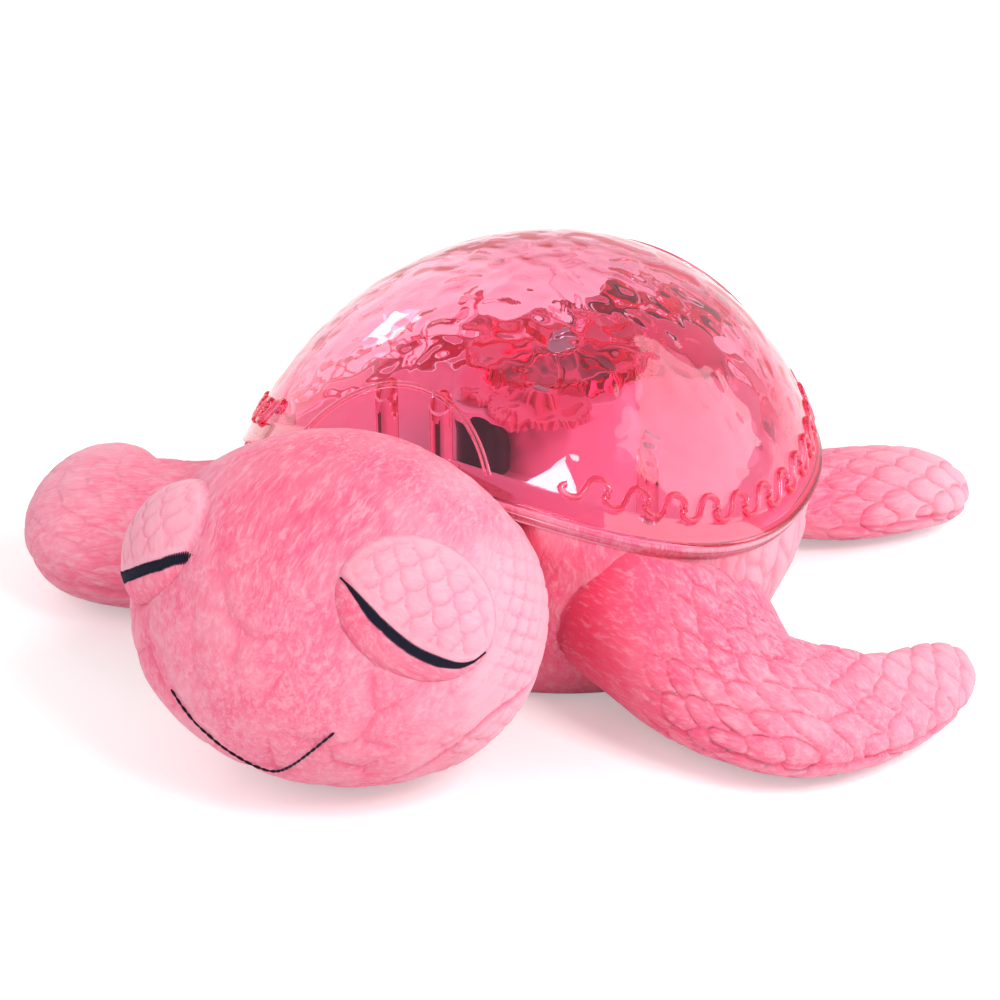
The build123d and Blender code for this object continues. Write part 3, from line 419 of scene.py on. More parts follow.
def circle_strip(first, second, count):
    """Quads between two rings of points whose first points have those numbers."""
    return [(first + n, first + (n + 1) % count, second + (n + 1) % count, second + n) for n in range(count)]


def grid_faces(rows, columns, start=0):
    """Quads between rows of points that each close round on themselves."""
    rings = range(start, start + (rows - 1) * columns, columns)
    return [quad for ring in rings for quad in circle_strip(ring, ring + columns, columns)]


def fan(ring, tip, count):
    """Triangles between a ring of points and one point."""
    return [(ring + n, ring + (n + 1) % count, tip) for n in range(count)]


print("mesh helpers ready")

# %% Stuffing by cloth simulation
swell_room = 0.0008
swell_cap = 0.005
swell_fade = 0.012
swell_pressure = 4.0
last_frame = 20


def stuff(piece, voxel, held_near):
    """Remeshes a skin and swells it. held_near(points) says which points are sewn down."""
    with_modifier(piece, "REMESH", mode="VOXEL", voxel_size=voxel)
    start = points_of(piece) - swell_room * normals_of(piece)
    set_points(piece, start)
    cloth = piece.modifiers.new("cloth", "CLOTH")
    cloth.settings.quality = 4
    cloth.settings.use_pressure = True
    cloth.settings.uniform_pressure_force = swell_pressure
    cloth.settings.effector_weights.gravity = 0.0
    cloth.point_cache.frame_start = 1
    cloth.point_cache.frame_end = last_frame
    for number in range(1, last_frame + 1):
        scene.frame_set(number)
    move = each_point(evaluated(piece).data, "co") - start
    length = np.linalg.norm(move, axis=1, keepdims=True)
    move *= np.minimum(1.0, swell_cap / np.maximum(length, 1e-9))
    held = start[held_near(start)]
    sewn = KDTree(len(held))
    for number, point in enumerate(held):
        sewn.insert(point, number)
    sewn.balance()
    away = np.array([sewn.find(point)[2] for point in start])
    move *= fade(away / swell_fade)[:, None]
    piece.modifiers.clear()
    scene.frame_set(1)
    set_points(piece, start + move)
    grown = np.linalg.norm(move, axis=1) * 1000
    print(piece.name, "swelled by", grown.mean().round(2), "mm on average, at most", grown.max().round(1))


# %% [markdown]
# ## Embossing
# The plush is pressed between heated plates, which leaves rows of scales on the lids and flippers and rounded
# cobbles elsewhere. Each pattern is worked out for every point of a fine mesh: 0 in a groove, 1 on a crown. The
# points then move along their normals, so the pattern is real relief, and the grooves are kept for the finish,
# which paints them deeper pink as painted shade.

# %% Embossed patterns
def rough(points, pitch):
    """A slow wave from -1 to 1 that takes the ruled look off a pattern."""
    x, y, z = (points / pitch).T
    return (np.sin(1.7 * x + 2.3 * y) + np.sin(2.1 * y - 1.3 * z + 1.0) + np.sin(1.9 * z + 2.7 * x + 2.0)) / 3


def scallops(along, across, length, width):
    """Rows of round scales whose free edges point along; rows lie over the next ones like roof tiles."""
    u, v = along / length, across / width
    first = np.floor(u)
    crown = np.zeros_like(u)
    found = np.zeros(len(u), bool)
    for step in (-1, 0, 1):
        row = first + step
        shift = 0.5 * (row % 2)
        column = np.round(v - shift)
        inside = 1.0 - np.hypot(u - row, (v - shift - column) / 0.5)
        new = (inside > 0) & ~found
        crown[new] = inside[new]
        found |= new
    return 1.0 - np.exp(-crown / 0.2)


def cobbles(points, pitch, joint):
    """Rounded stones in an uneven grid; joint is the share of a stone that its worn edge takes."""
    cell = np.floor(points / pitch)
    nearest = np.full(len(points), 9.0)
    second = np.full(len(points), 9.0)
    for step in product((-1, 0, 1), repeat=3):
        corner = cell + step
        seed = corner @ np.array([[127.1, 269.5, 113.5], [311.7, 183.3, 271.9], [74.7, 246.1, 124.6]])
        jitter = np.modf(np.abs(np.sin(seed) * 43758.5453))[0]
        away = np.linalg.norm(points / pitch - corner - jitter, axis=1)
        second = np.minimum(second, np.maximum(nearest, away))
        nearest = np.minimum(nearest, away)
    return 1.0 - np.exp(-(second - nearest) / joint)


def seam(offset, width):
    """1 on the seam line, falling away to 0 on both sides."""
    return np.exp(-((offset / width) ** 2))


def emboss(piece, crown, depth, sewn=0.0, seam_depth=0.0, groove_shade_share=0.55):
    """Moves each point in by depth where crown is 0, and by seam_depth on a seam, and keeps the grooves and seams,
    which the finish paints deeper pink as painted shade.
    """
    low = depth * (1.0 - crown) + seam_depth * sewn
    set_points(piece, points_of(piece) - normals_of(piece) * low[:, None])
    # The grooves and seams kept here are painted deeper pink as shade by the finish.
    keep_value(piece, "groove", fade(groove_shade_share * (1.0 - crown) + sewn))


print("embossing ready")

# %% [markdown]
# ## Head
# The head is a broad ball that lies on its chin, with its crown nestled against the front of the dome. A seam runs
# back along each cheek and dips under the mouth, where the chin panel is sewn in. The muzzle is cobbled, the cheeks
# carry small scales, and the forehead is left furry.

# %% Shapes that the plush lies against
head_low, head_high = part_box("head")
head_half = np.array((head_high.x, 0.066, (head_high.z - head_low.z) / 2))
head_centre = np.array((0.0, head_low.y + head_half[1], (head_high.z + head_low.z) / 2))
dome_centre = np.array((0.0, 0.0188, 0.0305))
dome_half = np.array((0.107, 0.134, 0.115))
body_centre = np.array((0.0, dome_centre[1], 0.045))
body_half = np.array((0.101, 0.126, 0.0734))
chest_centre = np.array((0.0, dome_centre[1], 0.095))
chest_half = np.array((0.116, 0.0944, 0.132))
lip_proud = 0.002
soft_gap = 0.0004
rim_height = 0.058
rim_turn_y = 0.0408
rim_turn_radius = 0.2


def rim_z(y):
    """Height of the dome's rim: level behind, rising in an arc over the neck."""
    ahead = np.clip(rim_turn_y - y, 0.0, 0.95 * rim_turn_radius)
    return rim_height + rim_turn_radius - np.sqrt(rim_turn_radius**2 - ahead**2)


def reach_in(points, centre, half):
    """How far out each point lies in an ellipsoid: 0 at its middle, 1 on its face."""
    return np.linalg.norm((points - centre) / half, axis=1)


def clear_of(points, centre, half, where=True):
    """Pushes points that lie inside an ellipsoid out to its face."""
    reach = reach_in(points, centre, half)
    push = (reach < 1.0) & where
    points[push] = centre + (points[push] - centre) / reach[push, None]
    return points


def clear_of_body(points, gap):
    """Pushes points out of the body: one ellipsoid, drawn in at the chest by a second one."""
    low, front = reach_in(points, body_centre, body_half + gap), reach_in(points, chest_centre, chest_half + gap)
    ahead = points[:, 1] < chest_centre[1]
    inside = (low < 1.0) & ((front < 1.0) | ~ahead)
    by_chest = ahead & (front > low)
    points = clear_of(points, chest_centre, chest_half + gap, inside & by_chest)
    return clear_of(points, body_centre, body_half + gap, inside & ~by_chest)


def against_body(points):
    """Which points lie within a few millimetres of the body's face."""
    near_by = 0.004
    front = (reach_in(points, chest_centre, chest_half + near_by) < 1.0) | (points[:, 1] > chest_centre[1])
    return (reach_in(points, body_centre, body_half + near_by) < 1.0) & front


print("head", head_half.round(4), "at", head_centre.round(4))

# %% Head
seat_grow = lip_proud + soft_gap
seat_near = 1.03
seat_below_rim = 0.006
head_floor_gap = 0.0003
head_depth = 0.0018
head_groove_shade = 0.8
head_nap = 0.0010
head_voxel = 0.0039
jaw_full = 0.004
cheek_scale = (0.0058, 0.0075)
stone_pitch = 0.021
stone_joint = 0.13
chin_seam_height = 0.047
chin_seam_dip = 0.040
chin_seam_width = 0.0011
head = skin_of("head", "head_plush")
stuff(head, head_voxel, lambda p: (reach_in(p, dome_centre, dome_half + seat_grow) < seat_near) | against_body(p))
with_modifier(head, "SUBSURF", levels=2, render_levels=2)
place = points_of(head)
place = clear_of(place, dome_centre, dome_half + seat_grow, place[:, 2] > rim_z(place[:, 1]) - seat_below_rim)
place = clear_of_body(place, soft_gap)
out = (place - head_centre) / head_half
jaw = fade((0.25 - out[:, 2]) / 0.6) * fade((0.3 - out[:, 1]) / 0.5)
place[:, :2] += (jaw_full * jaw / np.hypot(out[:, 0], out[:, 1]).clip(0.3))[:, None] * out[:, :2]
place[:, 2] = np.maximum(place[:, 2], head_floor_gap)
set_points(head, place)
head_tree = BVHTree.FromPolygons(place.tolist(), [tuple(face.vertices) for face in head.data.polygons])
out = (place - head_centre) / head_half
cheek = fade((np.abs(out[:, 0]) - 0.7) / 0.15) * fade((out[:, 1] + 0.7) / 0.3)
brow = fade((out[:, 2] - 0.35) / 0.4)
backwards = -place[:, 1] + 0.0009 * rough(place, 0.016)
upwards = place[:, 2] + 0.001 * rough(place, 0.02)
scales = scallops(backwards, upwards, *cheek_scale)
stones = cobbles(place + 0.002 * rough(place, 0.03)[:, None], stone_pitch, stone_joint)
worn = np.clip(0.62 + 0.8 * rough(place, 0.013), 0.1, 1)
crown = cheek * (1 - (1 - scales) * 0.75 * worn) + (1 - cheek) * (1 - (1 - stones) * (1 - brow) * worn)
chin_drop = fade((-0.120 - place[:, 1]) / 0.032) ** 3
chin_line = place[:, 2] - (chin_seam_height - chin_seam_dip * chin_drop)
sewn = seam(chin_line, chin_seam_width) * (place[:, 1] < -0.07)
emboss(head, crown, head_depth, sewn, head_depth, head_groove_shade)
forehead = fade((out[:, 2] - 0.35) / 0.3) * fade(1.15 - np.abs(out[:, 0]) / 0.62)
# Painted shade of deeper pink on the forehead and the top of the head, where it goes under the dome; painted light on
# the cheeks and the side towards +X.
dress(head, 0.2 * forehead + 0.3 * fade((out[:, 2] - 0.75) / 0.2),
      0.62 * cheek + 0.2 * (1 - forehead) * fade(out[:, 0] + 0.3),
      plush_finish("plush_head", (0.0, radians(-25.0), radians(90.0)), head_nap))
print("head:", len(head.data.polygons), "faces")

# %% [markdown]
# ## Eyelids
# Each closed eye is a padded oval lid, sewn to the head, that slants down towards the outside. It is made as rings
# of points that are dropped on the head's own skin and lifted by a round swell, so that it grows out of the head
# with no gap. The scales above the eye line hang down towards it, and the pouch below it is plain.

# %% Eyelids
lid_bearing = radians(52.0)
lid_rise = radians(29.0)
lid_slant = radians(34.0)
lid_half = np.array((0.0290, 0.0238))
lid_shift = 0.0022
lid_swell = 0.0088
lid_sunk = 0.0010
lid_rings = 60
lid_spokes = 180
lid_scale = (0.0068, 0.0098)
lid_scale_bend = 9.0
lid_depth = 0.0009
lid_line_depth = 0.002
lid_nap = 0.0006
skin_reach = 0.06
skin_miss = 0.005


def unit(vector):
    return np.asarray(vector) / np.linalg.norm(vector)


def lid_axes(side):
    """The lid's place on the head, its outward direction, and its long and short directions."""
    outward = np.array((side * sin(lid_bearing) * cos(lid_rise), -cos(lid_bearing) * cos(lid_rise), sin(lid_rise)))
    normal = unit(outward / head_half)
    level = side * unit((-normal[1], normal[0], 0.0))
    uphill = unit(np.array((0.0, 0.0, 1.0)) - normal * normal[2])
    down_and_out = cos(lid_slant) * level - sin(lid_slant) * uphill
    across = cos(lid_slant) * uphill + sin(lid_slant) * level
    return head_centre + head_half * outward, normal, down_and_out, across


def on_ball(points, direction):
    """Slides points along a direction onto the head's ellipsoid."""
    start, step = (points - head_centre) / head_half, direction / head_half
    a, b, c = step @ step, start @ step, np.sum(start * start, axis=1) - 1.0
    return points + np.outer((-b + np.sqrt(np.maximum(b * b - a * c, 0.0))) / a, direction)


def on_skin(points, direction):
    """Drops points along a direction onto the head's skin, or onto its ellipsoid where they miss it."""
    ball = on_ball(points, direction)
    found = []
    for start, spare in zip(points + skin_reach * direction, ball):
        hit = head_tree.ray_cast(Vector(start), Vector(-direction), 2 * skin_reach)[0]
        found.append(spare if hit is None or (Vector(spare) - hit).length > skin_miss else tuple(hit))
    return np.array(found)


def lid_surface(side, long, short):
    """Points of the lid that lie long and short metres from the eye's middle, along and across it."""
    place, normal, along, across = lid_axes(side)
    flat = place + np.outer(long, along) + np.outer(short, across)
    reach = np.minimum(np.hypot((long - lid_shift) / lid_half[0], short / lid_half[1]), 1.0)
    swell = lid_swell * (1 - reach**2.2) ** 0.6
    return on_skin(flat, normal) + np.outer(swell - lid_sunk * reach**8, normal)


eye_lines = {
    1: ((-25.5, -2.6), (-16.4, -9.2), (-6.2, -13.6), (2.3, -15.5), (9.5, -15.9), (20, -14.1), (27, -9.6),
        (29.6, -3.6)),
    -1: ((-25.5, -8.0), (-21.5, -11.0), (-11.6, -15.4), (5.3, -17.2), (16.5, -15.6), (25.5, -10.6), (28.6, -5)),
}


def eye_height(side, long):
    """How high on the lid the eye line lies, at that place along it."""
    line = np.array(eye_lines[side]) / 1000
    return np.interp(long, line[:, 0], line[:, 1])


def eyelid(side, name):
    across, up = circle_points(lid_spokes).T
    reach = 1.0 - (np.arange(lid_rings) / lid_rings) ** 1.2
    long = np.append(np.outer(reach, across).ravel(), 0.0) * lid_half[0] + lid_shift
    short = np.append(np.outer(reach, up).ravel(), 0.0) * lid_half[1]
    points = lid_surface(side, long, short)
    faces = grid_faces(lid_rings, lid_spokes)
    last = (lid_rings - 1) * lid_spokes
    faces += fan(last, len(points) - 1, lid_spokes)
    faces.append(tuple(reversed(range(lid_spokes))))
    piece = closed_piece(name, points, faces)
    edge = np.hypot((long - lid_shift) / lid_half[0], short / lid_half[1])
    above = short - eye_height(side, long)
    wobble = 0.0007 * rough(points, 0.009)
    scales = scallops(-short + lid_scale_bend * long**2 + wobble, long + wobble, *lid_scale)
    scaled = fade((above - 0.003) / 0.002) * fade((0.95 - edge) / 0.12)
    line_dip = seam(above, 0.0016) * fade((1.02 - edge) / 0.1)
    emboss(piece, 1 - scaled * (1 - scales) * 0.8, lid_depth, 0.25 * line_dip, lid_line_depth)
    # Painted shade of deeper pink in the pouch below the eye line and round the lid's edge, and painted light on the
    # lid's top above the eye line.
    pouch, rim = fade(-above / 0.004), fade((edge - 0.93) / 0.07)
    lid_top_light = fade((above + 0.001) / 0.003) * fade((0.99 - edge) / 0.06)
    dress(piece, 0.3 * pouch + 0.25 * rim, 0.72 * lid_top_light,
          plush_finish("plush_" + name, (0.0, radians(35.0), radians(side * 60.0)), lid_nap))
    return piece


lids = {side: eyelid(side, name) for side, name in ((1, "eyelid_left_plush"), (-1, "eyelid_right_plush"))}
print("eyelids:", [len(lid.data.polygons) for lid in lids.values()], "faces")

# %% [markdown]
# ## Flippers and tail
# A flipper is two panels sewn edge to edge. Its rows of scales follow its own bend, so every point needs two
# numbers: how far along the flipper it lies, and how far across. Both come from the nearest place on a smooth line
# down the flipper's middle. The two front flippers lie differently, as they do on a soft toy, and each has its own
# line. The rear ones are cut alike, so the right one is mirrored from the left.

# %% Flippers and tail
near_line = ((55, -10), (72, -15), (88, -21), (104, -27), (124, -32), (143, -30), (153, -21), (160, -8), (166, 9),
             (169, 23), (171, 34), (173, 44))
far_line = ((-55, -10), (-72, -15), (-88, -21), (-104, -29), (-124, -38), (-140, -42), (-150, -36), (-157, -25),
            (-161, -11), (-163, 2), (-164, 13), (-165, 24))
rear_line = ((44, 113), (66, 130), (82, 145), (94, 159), (102, 167), (107, 172), (111, 177))
tail_line = ((0, 128), (0, 140), (0, 155), (0, 174))


def smooth_line(points, count=240):
    """Evenly spaced points on a smooth curve with those control points, from millimetres to metres."""
    curve = bpy.data.curves.new("line", "CURVE")
    curve.dimensions = "3D"
    curve.resolution_u = 24
    spline = curve.splines.new("NURBS")
    spline.points.add(len(points) - 1)
    for point, spot in zip(spline.points, points):
        point.co = (*(value / 1000 for value in spot), *([0.0] * (3 - len(spot))), 1.0)
    spline.order_u = 3
    spline.use_endpoint_u = True
    guide = new_piece("line", curve)
    mesh = bpy.data.meshes.new_from_object(evaluated(guide))
    line = np.array([v.co[:len(points[0])] for v in mesh.vertices])
    bpy.data.objects.remove(guide)
    run = run_of(line)
    even = np.linspace(0, run[-1], count)
    return spots_on(line, run, even), even


def limb_places(points, line):
    """How far along a limb each point lies, and how far to one side, without a jump inside its bend."""
    path, run = smooth_line(line, 120)
    heading = np.gradient(path, axis=0)
    heading /= np.linalg.norm(heading, axis=1, keepdims=True)
    blur = 0.012
    along, across = [], []
    for some in np.array_split(points[:, :2], max(1, len(points) // 8000)):
        gap = some[:, None] - path[None]
        away = (gap**2).sum(axis=2)
        share = np.exp(-(away - away.min(axis=1, keepdims=True)) / blur**2)
        share /= share.sum(axis=1, keepdims=True)
        ahead = (gap * heading).sum(axis=2)
        aside = heading[:, 0] * gap[:, :, 1] - heading[:, 1] * gap[:, :, 0]
        along.append((share * (run + np.clip(ahead, -0.02, 0.02))).sum(axis=1))
        across.append((share * aside).sum(axis=1))
    return np.concatenate(along), np.concatenate(across)


def girth(along, across):
    """Turns the distance across a limb into a distance round its oval, from its top."""
    step, least, flatness = 0.006, 0.004, 0.8
    slot = np.clip((along / step).astype(int), 0, None)
    widest = np.full(slot.max() + 3, least)
    np.maximum.at(widest, slot + 1, np.abs(across))
    widest = np.convolve(widest, np.ones(3) / 3, "same")
    half = np.maximum(np.interp(along / step + 0.5, np.arange(len(widest)), widest), least)
    return flatness * half * np.arcsin(np.clip(across / half, -1, 1))


shoulder_reach = 0.055
shoulder_under_rim = 0.006
arm_middle = 0.08
arm_length = 0.04
arm_slim = 0.22
arm_low = 0.16
scale_depth = 0.0019
limb_seam_depth = 0.0014
limb_floor_gap = 0.0004
limb_nap = 0.0008
row_spread = 1.2
body_mean_half = 0.1


def raise_shoulder(place, front, height):
    """Fills the upper half of a limb's root up the side of the body, most at its front."""
    outward = body_mean_half * (reach_in(place * (1, 1, 0) + (0, 0, body_centre[2]), body_centre, body_half) - 1.0)
    near_by = fade(1.0 - outward / shoulder_reach)
    upper = fade((place[:, 2] - 0.012) / 0.04)
    lift = height * near_by**1.5 * upper * np.clip(0.45 + front / 0.06, 0.1, 1)
    limit = np.maximum(rim_z(place[:, 1]) - shoulder_under_rim, place[:, 2])
    place[:, 2] = np.minimum(place[:, 2] + lift, limit)
    return place


def limb(node, line, voxel, scale_size, nap_turn, fur, tip, painted_shade, root_shade_reach, furry_all=0.0, shoulder=0.0,
         fuller=(0.0, 0.0, 0.0), slim=False, wider=(0.0, 0.0)):
    """A stuffed limb: scales beyond the first fur metres, paler towards tip as painted light, deeper pink at its root
    as painted shade, as strong and as far as given, fuller at its end by that much, slim behind its shoulder, and
    wider along its front edge."""
    name = node + "_plush"
    piece = skin_of(node, name)
    stuff(piece, voxel, against_body)
    with_modifier(piece, "SUBSURF", levels=2, render_levels=2)
    place = points_of(piece)
    along, across = limb_places(place, line)
    front = across * (-1.0 if line[-1][0] > 0 else 1.0)
    place = raise_shoulder(place, front, shoulder)
    outer = fade((along - root_shade_reach) / (tip - root_shade_reach))
    upper = fade(place[:, 2] / 0.03)
    place += np.outer(outer, (fuller[0], fuller[1], 0.0)) + np.outer(outer * upper, (0.0, 0.0, fuller[2]))
    place[:, :2] += np.outer(np.sqrt(outer) * fade(front / 0.015), wider)
    if slim:
        arm = np.exp(-(((along - arm_middle) / arm_length) ** 2)) * fade(-front / 0.02)
        place[:, 1] += arm_slim * arm * front
        place[:, 2] *= 1 - arm_low * arm
    place = clear_of_body(place, soft_gap)
    place[:, 2] = np.maximum(place[:, 2], limb_floor_gap)
    set_points(piece, place)
    facing = normals_of(piece)[:, 2]
    wobble = 0.0010 * rough(place, 0.011)
    rows = -(along + row_spread * along**2) + wobble
    scales = scallops(rows, girth(along, across) + wobble, *scale_size)
    start = fur + 0.35 * np.abs(across)
    scaled = fade((along - start) / 0.012) * (1 - furry_all)
    crown = 1 - (1 - scales) * scaled
    sewn = seam(facing + 0.35, 0.13) * fade((along - 0.6 * root_shade_reach) / 0.02)
    emboss(piece, crown, scale_depth, sewn * 0.7, limb_seam_depth)
    # Painted shade: deeper pink near the root, where the limb meets the body, strongest at its front; painted light
    # growing towards the tip.
    root_shade = fade((root_shade_reach - along) / (0.6 * root_shade_reach)) ** 1.2
    dress(piece, painted_shade * root_shade * np.clip(0.62 + front / 0.05, 0.3, 1), 0.95 * outer,
          plush_finish("plush_" + name, nap_turn, limb_nap))
    return piece


def mirrored(piece, name):
    """The same limb for the other side, turned inside out by the mirror and then put right."""
    mesh = piece.data.copy()
    mesh.transform(Matrix.Scale(-1, 4, (1, 0, 0)))
    mesh.flip_normals()
    return new_piece(name, mesh)


front_left = limb(
    "flipper_front_left", near_line, voxel=0.0026, scale_size=(0.0080, 0.0104), nap_turn=(0.0, 0.0, radians(-15.0)),
    fur=0.036, tip=0.18, painted_shade=1.0, root_shade_reach=0.078, shoulder=0.026, fuller=(0.0040, 0.0023, 0.004), slim=True,
    wider=(0.0025, -0.0045))
front_right = limb(
    "flipper_front_right", far_line, voxel=0.0026, scale_size=(0.0080, 0.0104), nap_turn=(0.0, 0.0, radians(20.0)),
    fur=0.055, tip=0.16, painted_shade=0.35, root_shade_reach=0.07, furry_all=0.6, shoulder=0.016, fuller=(-0.0125, -0.0055, 0.006))
rear_left = limb(
    "flipper_rear_left", rear_line, voxel=0.0024, scale_size=(0.0098, 0.0118), nap_turn=(0.0, 0.0, radians(45.0)),
    fur=0.012, tip=0.07, painted_shade=0.2, root_shade_reach=0.03, fuller=(0.005, 0.003, 0.007))
rear_right = mirrored(rear_left, "flipper_rear_right_plush")
tail = limb(
    "tail", tail_line, voxel=0.0022, scale_size=(0.0075, 0.009), nap_turn=(0.0, 0.0, radians(90.0)),
    fur=0.008, tip=0.045, painted_shade=0.2, root_shade_reach=0.02)
print("flippers:", len(front_left.data.polygons), len(front_right.data.polygons), len(rear_left.data.polygons),
      "faces; tail", len(tail.data.polygons))

# %% [markdown]
# ## Body
# The body is a bowl of plush under the rim of the dome, flat underneath, with an opening for the battery tub. It is
# a ring, so it is built as rows of points that close round on themselves: up the outside, in under the rim, down
# round the tub, and out along the floor. Near the rim the cloth is drawn out and rolled over the edge of the deck,
# up to the dome's lip.

# %% Body
body_spokes = 480
body_rows = 72
under_rim = 0.0049
rim_inset = 0.0042
drawn_out = 0.024
roll_outside = ((0.0036, 0.0022), (0.0026, 0.0010), (0.0016, 0.0005), (0.0005, 0.0005))
roll_inside = ((0.0004, 0.00085), (0.00265, 0.0009), (0.0027, 0.0028), (0.0047, 0.0029))
floor_round = 0.007
ledge = 0.84
tub_half = np.array((0.0472, 0.0612))
tub_centre = np.array((0.0, 0.0278))
tub_squareness = 5.0
tub_opening_height = 0.03
cobble_pitch = 0.0135
cobble_joint = 0.14
belt_radius = 0.115
belt_squash = 0.55
body_depth = 0.0018
body_nap = 0.0008
ring = circle_points(body_spokes)


def spoke_reach(z, centre, half):
    """How far out along each spoke an ellipsoid's face lies at height z."""
    left = np.maximum(1.0 - ((z - centre[2]) / half[2]) ** 2, 0.0)
    return np.sqrt(left / np.sum((ring / half[:2]) ** 2, axis=1))


def soft_least(first, second, width):
    """The lesser of two lengths, rounded where they cross."""
    share = fade(0.5 + 0.5 * (second - first) / width)
    return second * (1 - share) + first * share - width * share * (1 - share)


def under_lip(down, inset):
    """A row of the cloth that far under the rim and that far inside the dome's face: its reach and height."""
    z = np.full(body_spokes, rim_height)
    for _ in range(40):
        reach = spoke_reach(z, dome_centre, dome_half) - inset
        z = rim_z(dome_centre[1] + ring[:, 1] * reach) - down
    return reach, z


def row_points(reach, z):
    return np.column_stack((dome_centre[:2] + ring * reach[:, None], z))


top_reach, top_z = under_lip(under_rim, rim_inset)
round_width = np.maximum(0.006 * fade(-ring[:, 1] / 0.3), 1e-6)
beside_head = fade((ring[:, 1] + 0.90) / 0.05)
rows = []
for share in np.linspace(0, 1, body_rows) ** 0.9:
    z = top_z * share
    reach = spoke_reach(z, body_centre, body_half)
    chest = np.where(ring[:, 1] < 0, spoke_reach(z, chest_centre, chest_half), 1.0)
    reach = soft_least(reach, chest, round_width)
    draw = fade((z - top_z + drawn_out) / drawn_out)
    reach += (top_reach - reach) * beside_head * draw**2 * (3 - 2 * draw)
    low = fade((floor_round - z) / floor_round)
    reach -= 0.7 * floor_round * (1 - np.sqrt(1 - low**2))
    rows.append(row_points(reach, z))
inner_top = rows[-1].copy()
inner_top[:, :2] = dome_centre[:2] + ledge * (inner_top[:, :2] - dome_centre[:2])
inner_top[:, 2] = rim_z(inner_top[:, 1]) - under_rim
rows += [row_points(*under_lip(down, inset)) for down, inset in roll_outside]
corner = (np.abs(ring[:, 0]) ** tub_squareness + np.abs(ring[:, 1]) ** tub_squareness) ** (-1 / tub_squareness)
opening = np.column_stack((tub_centre + tub_half * ring * corner[:, None], np.zeros(body_spokes)))
outside_count = len(rows) * body_spokes
rows += [row_points(*under_lip(down, inset)) for down, inset in roll_inside]
rows += [inner_top, opening + (0, 0, tub_opening_height), opening]
last = (len(rows) - 1) * body_spokes
faces = grid_faces(len(rows), body_spokes) + circle_strip(last, 0, body_spokes)
body = closed_piece("body_plush", np.vstack(rows), faces)
place = points_of(body)
outside = np.arange(len(place)) < outside_count
turn = np.arctan2(place[:, 1] - dome_centre[1], place[:, 0])
unrolled = np.column_stack((belt_radius * np.cos(turn), belt_radius * np.sin(turn), belt_squash * place[:, 2]))
stones = cobbles(unrolled + 0.0012 * rough(place, 0.02)[:, None], cobble_pitch, cobble_joint)
crown = np.where(outside, stones, 1.0)
below_rim = fade((rim_z(place[:, 1]) - under_rim - place[:, 2]) / 0.004)
crown = 1 - (1 - crown) * fade((place[:, 1] + 0.03) / 0.03) * below_rim
emboss(body, crown, body_depth)
# Painted shade of deeper pink at the neck and all over the inside of the ring, under the rim and round the tub;
# painted light on the outside away from the neck.
neck = fade((0.01 - place[:, 1]) / 0.05)
dress(body, np.where(outside, 0.3 * neck, 0.6), np.where(outside, 0.95 * (1 - neck), 0.0),
      plush_finish("plush_body", (0.0, radians(90.0), 0.0), body_nap))
print("body:", len(body.data.polygons), "faces")

# %% [markdown]
# ## Embroidery
# The closed eyes are satin stitch: threads laid side by side across a line, long in its middle and short at its
# ends. The smile is a back stitch: short threads end to end. Both are one thread repeated, so one tree of Geometry
# Nodes sews them. It lays a thread on each point of a guide mesh, along the direction and to the length kept there.

# %% Trees of Geometry Nodes
def new_tree(name, inputs):
    """A Geometry Nodes tree with a geometry input, named inputs and a geometry output."""
    tree = bpy.data.node_groups.new(name, "GeometryNodeTree")
    tree.interface.new_socket("Geometry", in_out="INPUT", socket_type="NodeSocketGeometry")
    for key, kind in inputs.items():
        tree.interface.new_socket(key, in_out="INPUT", socket_type=kind)
    tree.interface.new_socket("Geometry", in_out="OUTPUT", socket_type="NodeSocketGeometry")
    return tree, put(tree, "NodeGroupInput")


def end_tree(tree, made, finish):
    """Ends a tree as plain faces with a finish, because instances aren't kept."""
    made = put(tree, "GeometryNodeRealizeInstances", {"Geometry": made})[0]
    made = put(tree, "GeometryNodeSetMaterial", {"Geometry": made, "Material": finish})[0]
    put(tree, "NodeGroupOutput", {0: made})


def run_tree(piece, tree, inputs):
    """Runs a tree on a piece and keeps the result as its own mesh."""
    modifier = piece.modifiers.new(tree.name, "NODES")
    modifier.node_group = tree
    for item in tree.interface.items_tree:
        if item.in_out == "INPUT" and item.name in inputs:
            modifier[item.identifier] = inputs[item.name]
    keep_result(piece)


def kept_value(tree, name, kind="FLOAT"):
    """What is stored on the points under that name."""
    return put(tree, "GeometryNodeInputNamedAttribute", {"Name": name}, data_type=kind)[0]


sewing, given = new_tree("sewn_thread", {"Thread radius": "NodeSocketFloat", "Finish": "NodeSocketMaterial"})
lies_along = kept_value(sewing, "lies", "FLOAT_VECTOR")
thread_length = kept_value(sewing, "length")
turned = put(sewing, "FunctionNodeAlignRotationToVector", {"Vector": lies_along}, axis="Z")[0]
stretch = put(sewing, "ShaderNodeCombineXYZ", {0: 1.0, 1: 1.0, 2: thread_length})[0]
thread = put(sewing, "GeometryNodeMeshIcoSphere", {"Radius": 1.0, "Subdivisions": 2})[0]
radius = given["Thread radius"]
slim = put(sewing, "ShaderNodeCombineXYZ", {0: radius, 1: radius, 2: 0.5})[0]
thread = put(sewing, "GeometryNodeTransform", {"Geometry": thread, "Scale": slim})[0]
sewn_on = put(sewing, "GeometryNodeInstanceOnPoints", {
    "Points": given["Geometry"], "Instance": thread, "Rotation": turned, "Scale": stretch})[0]
end_tree(sewing, sewn_on, given["Finish"])
print("sewing tree with", len(sewing.nodes), "nodes")

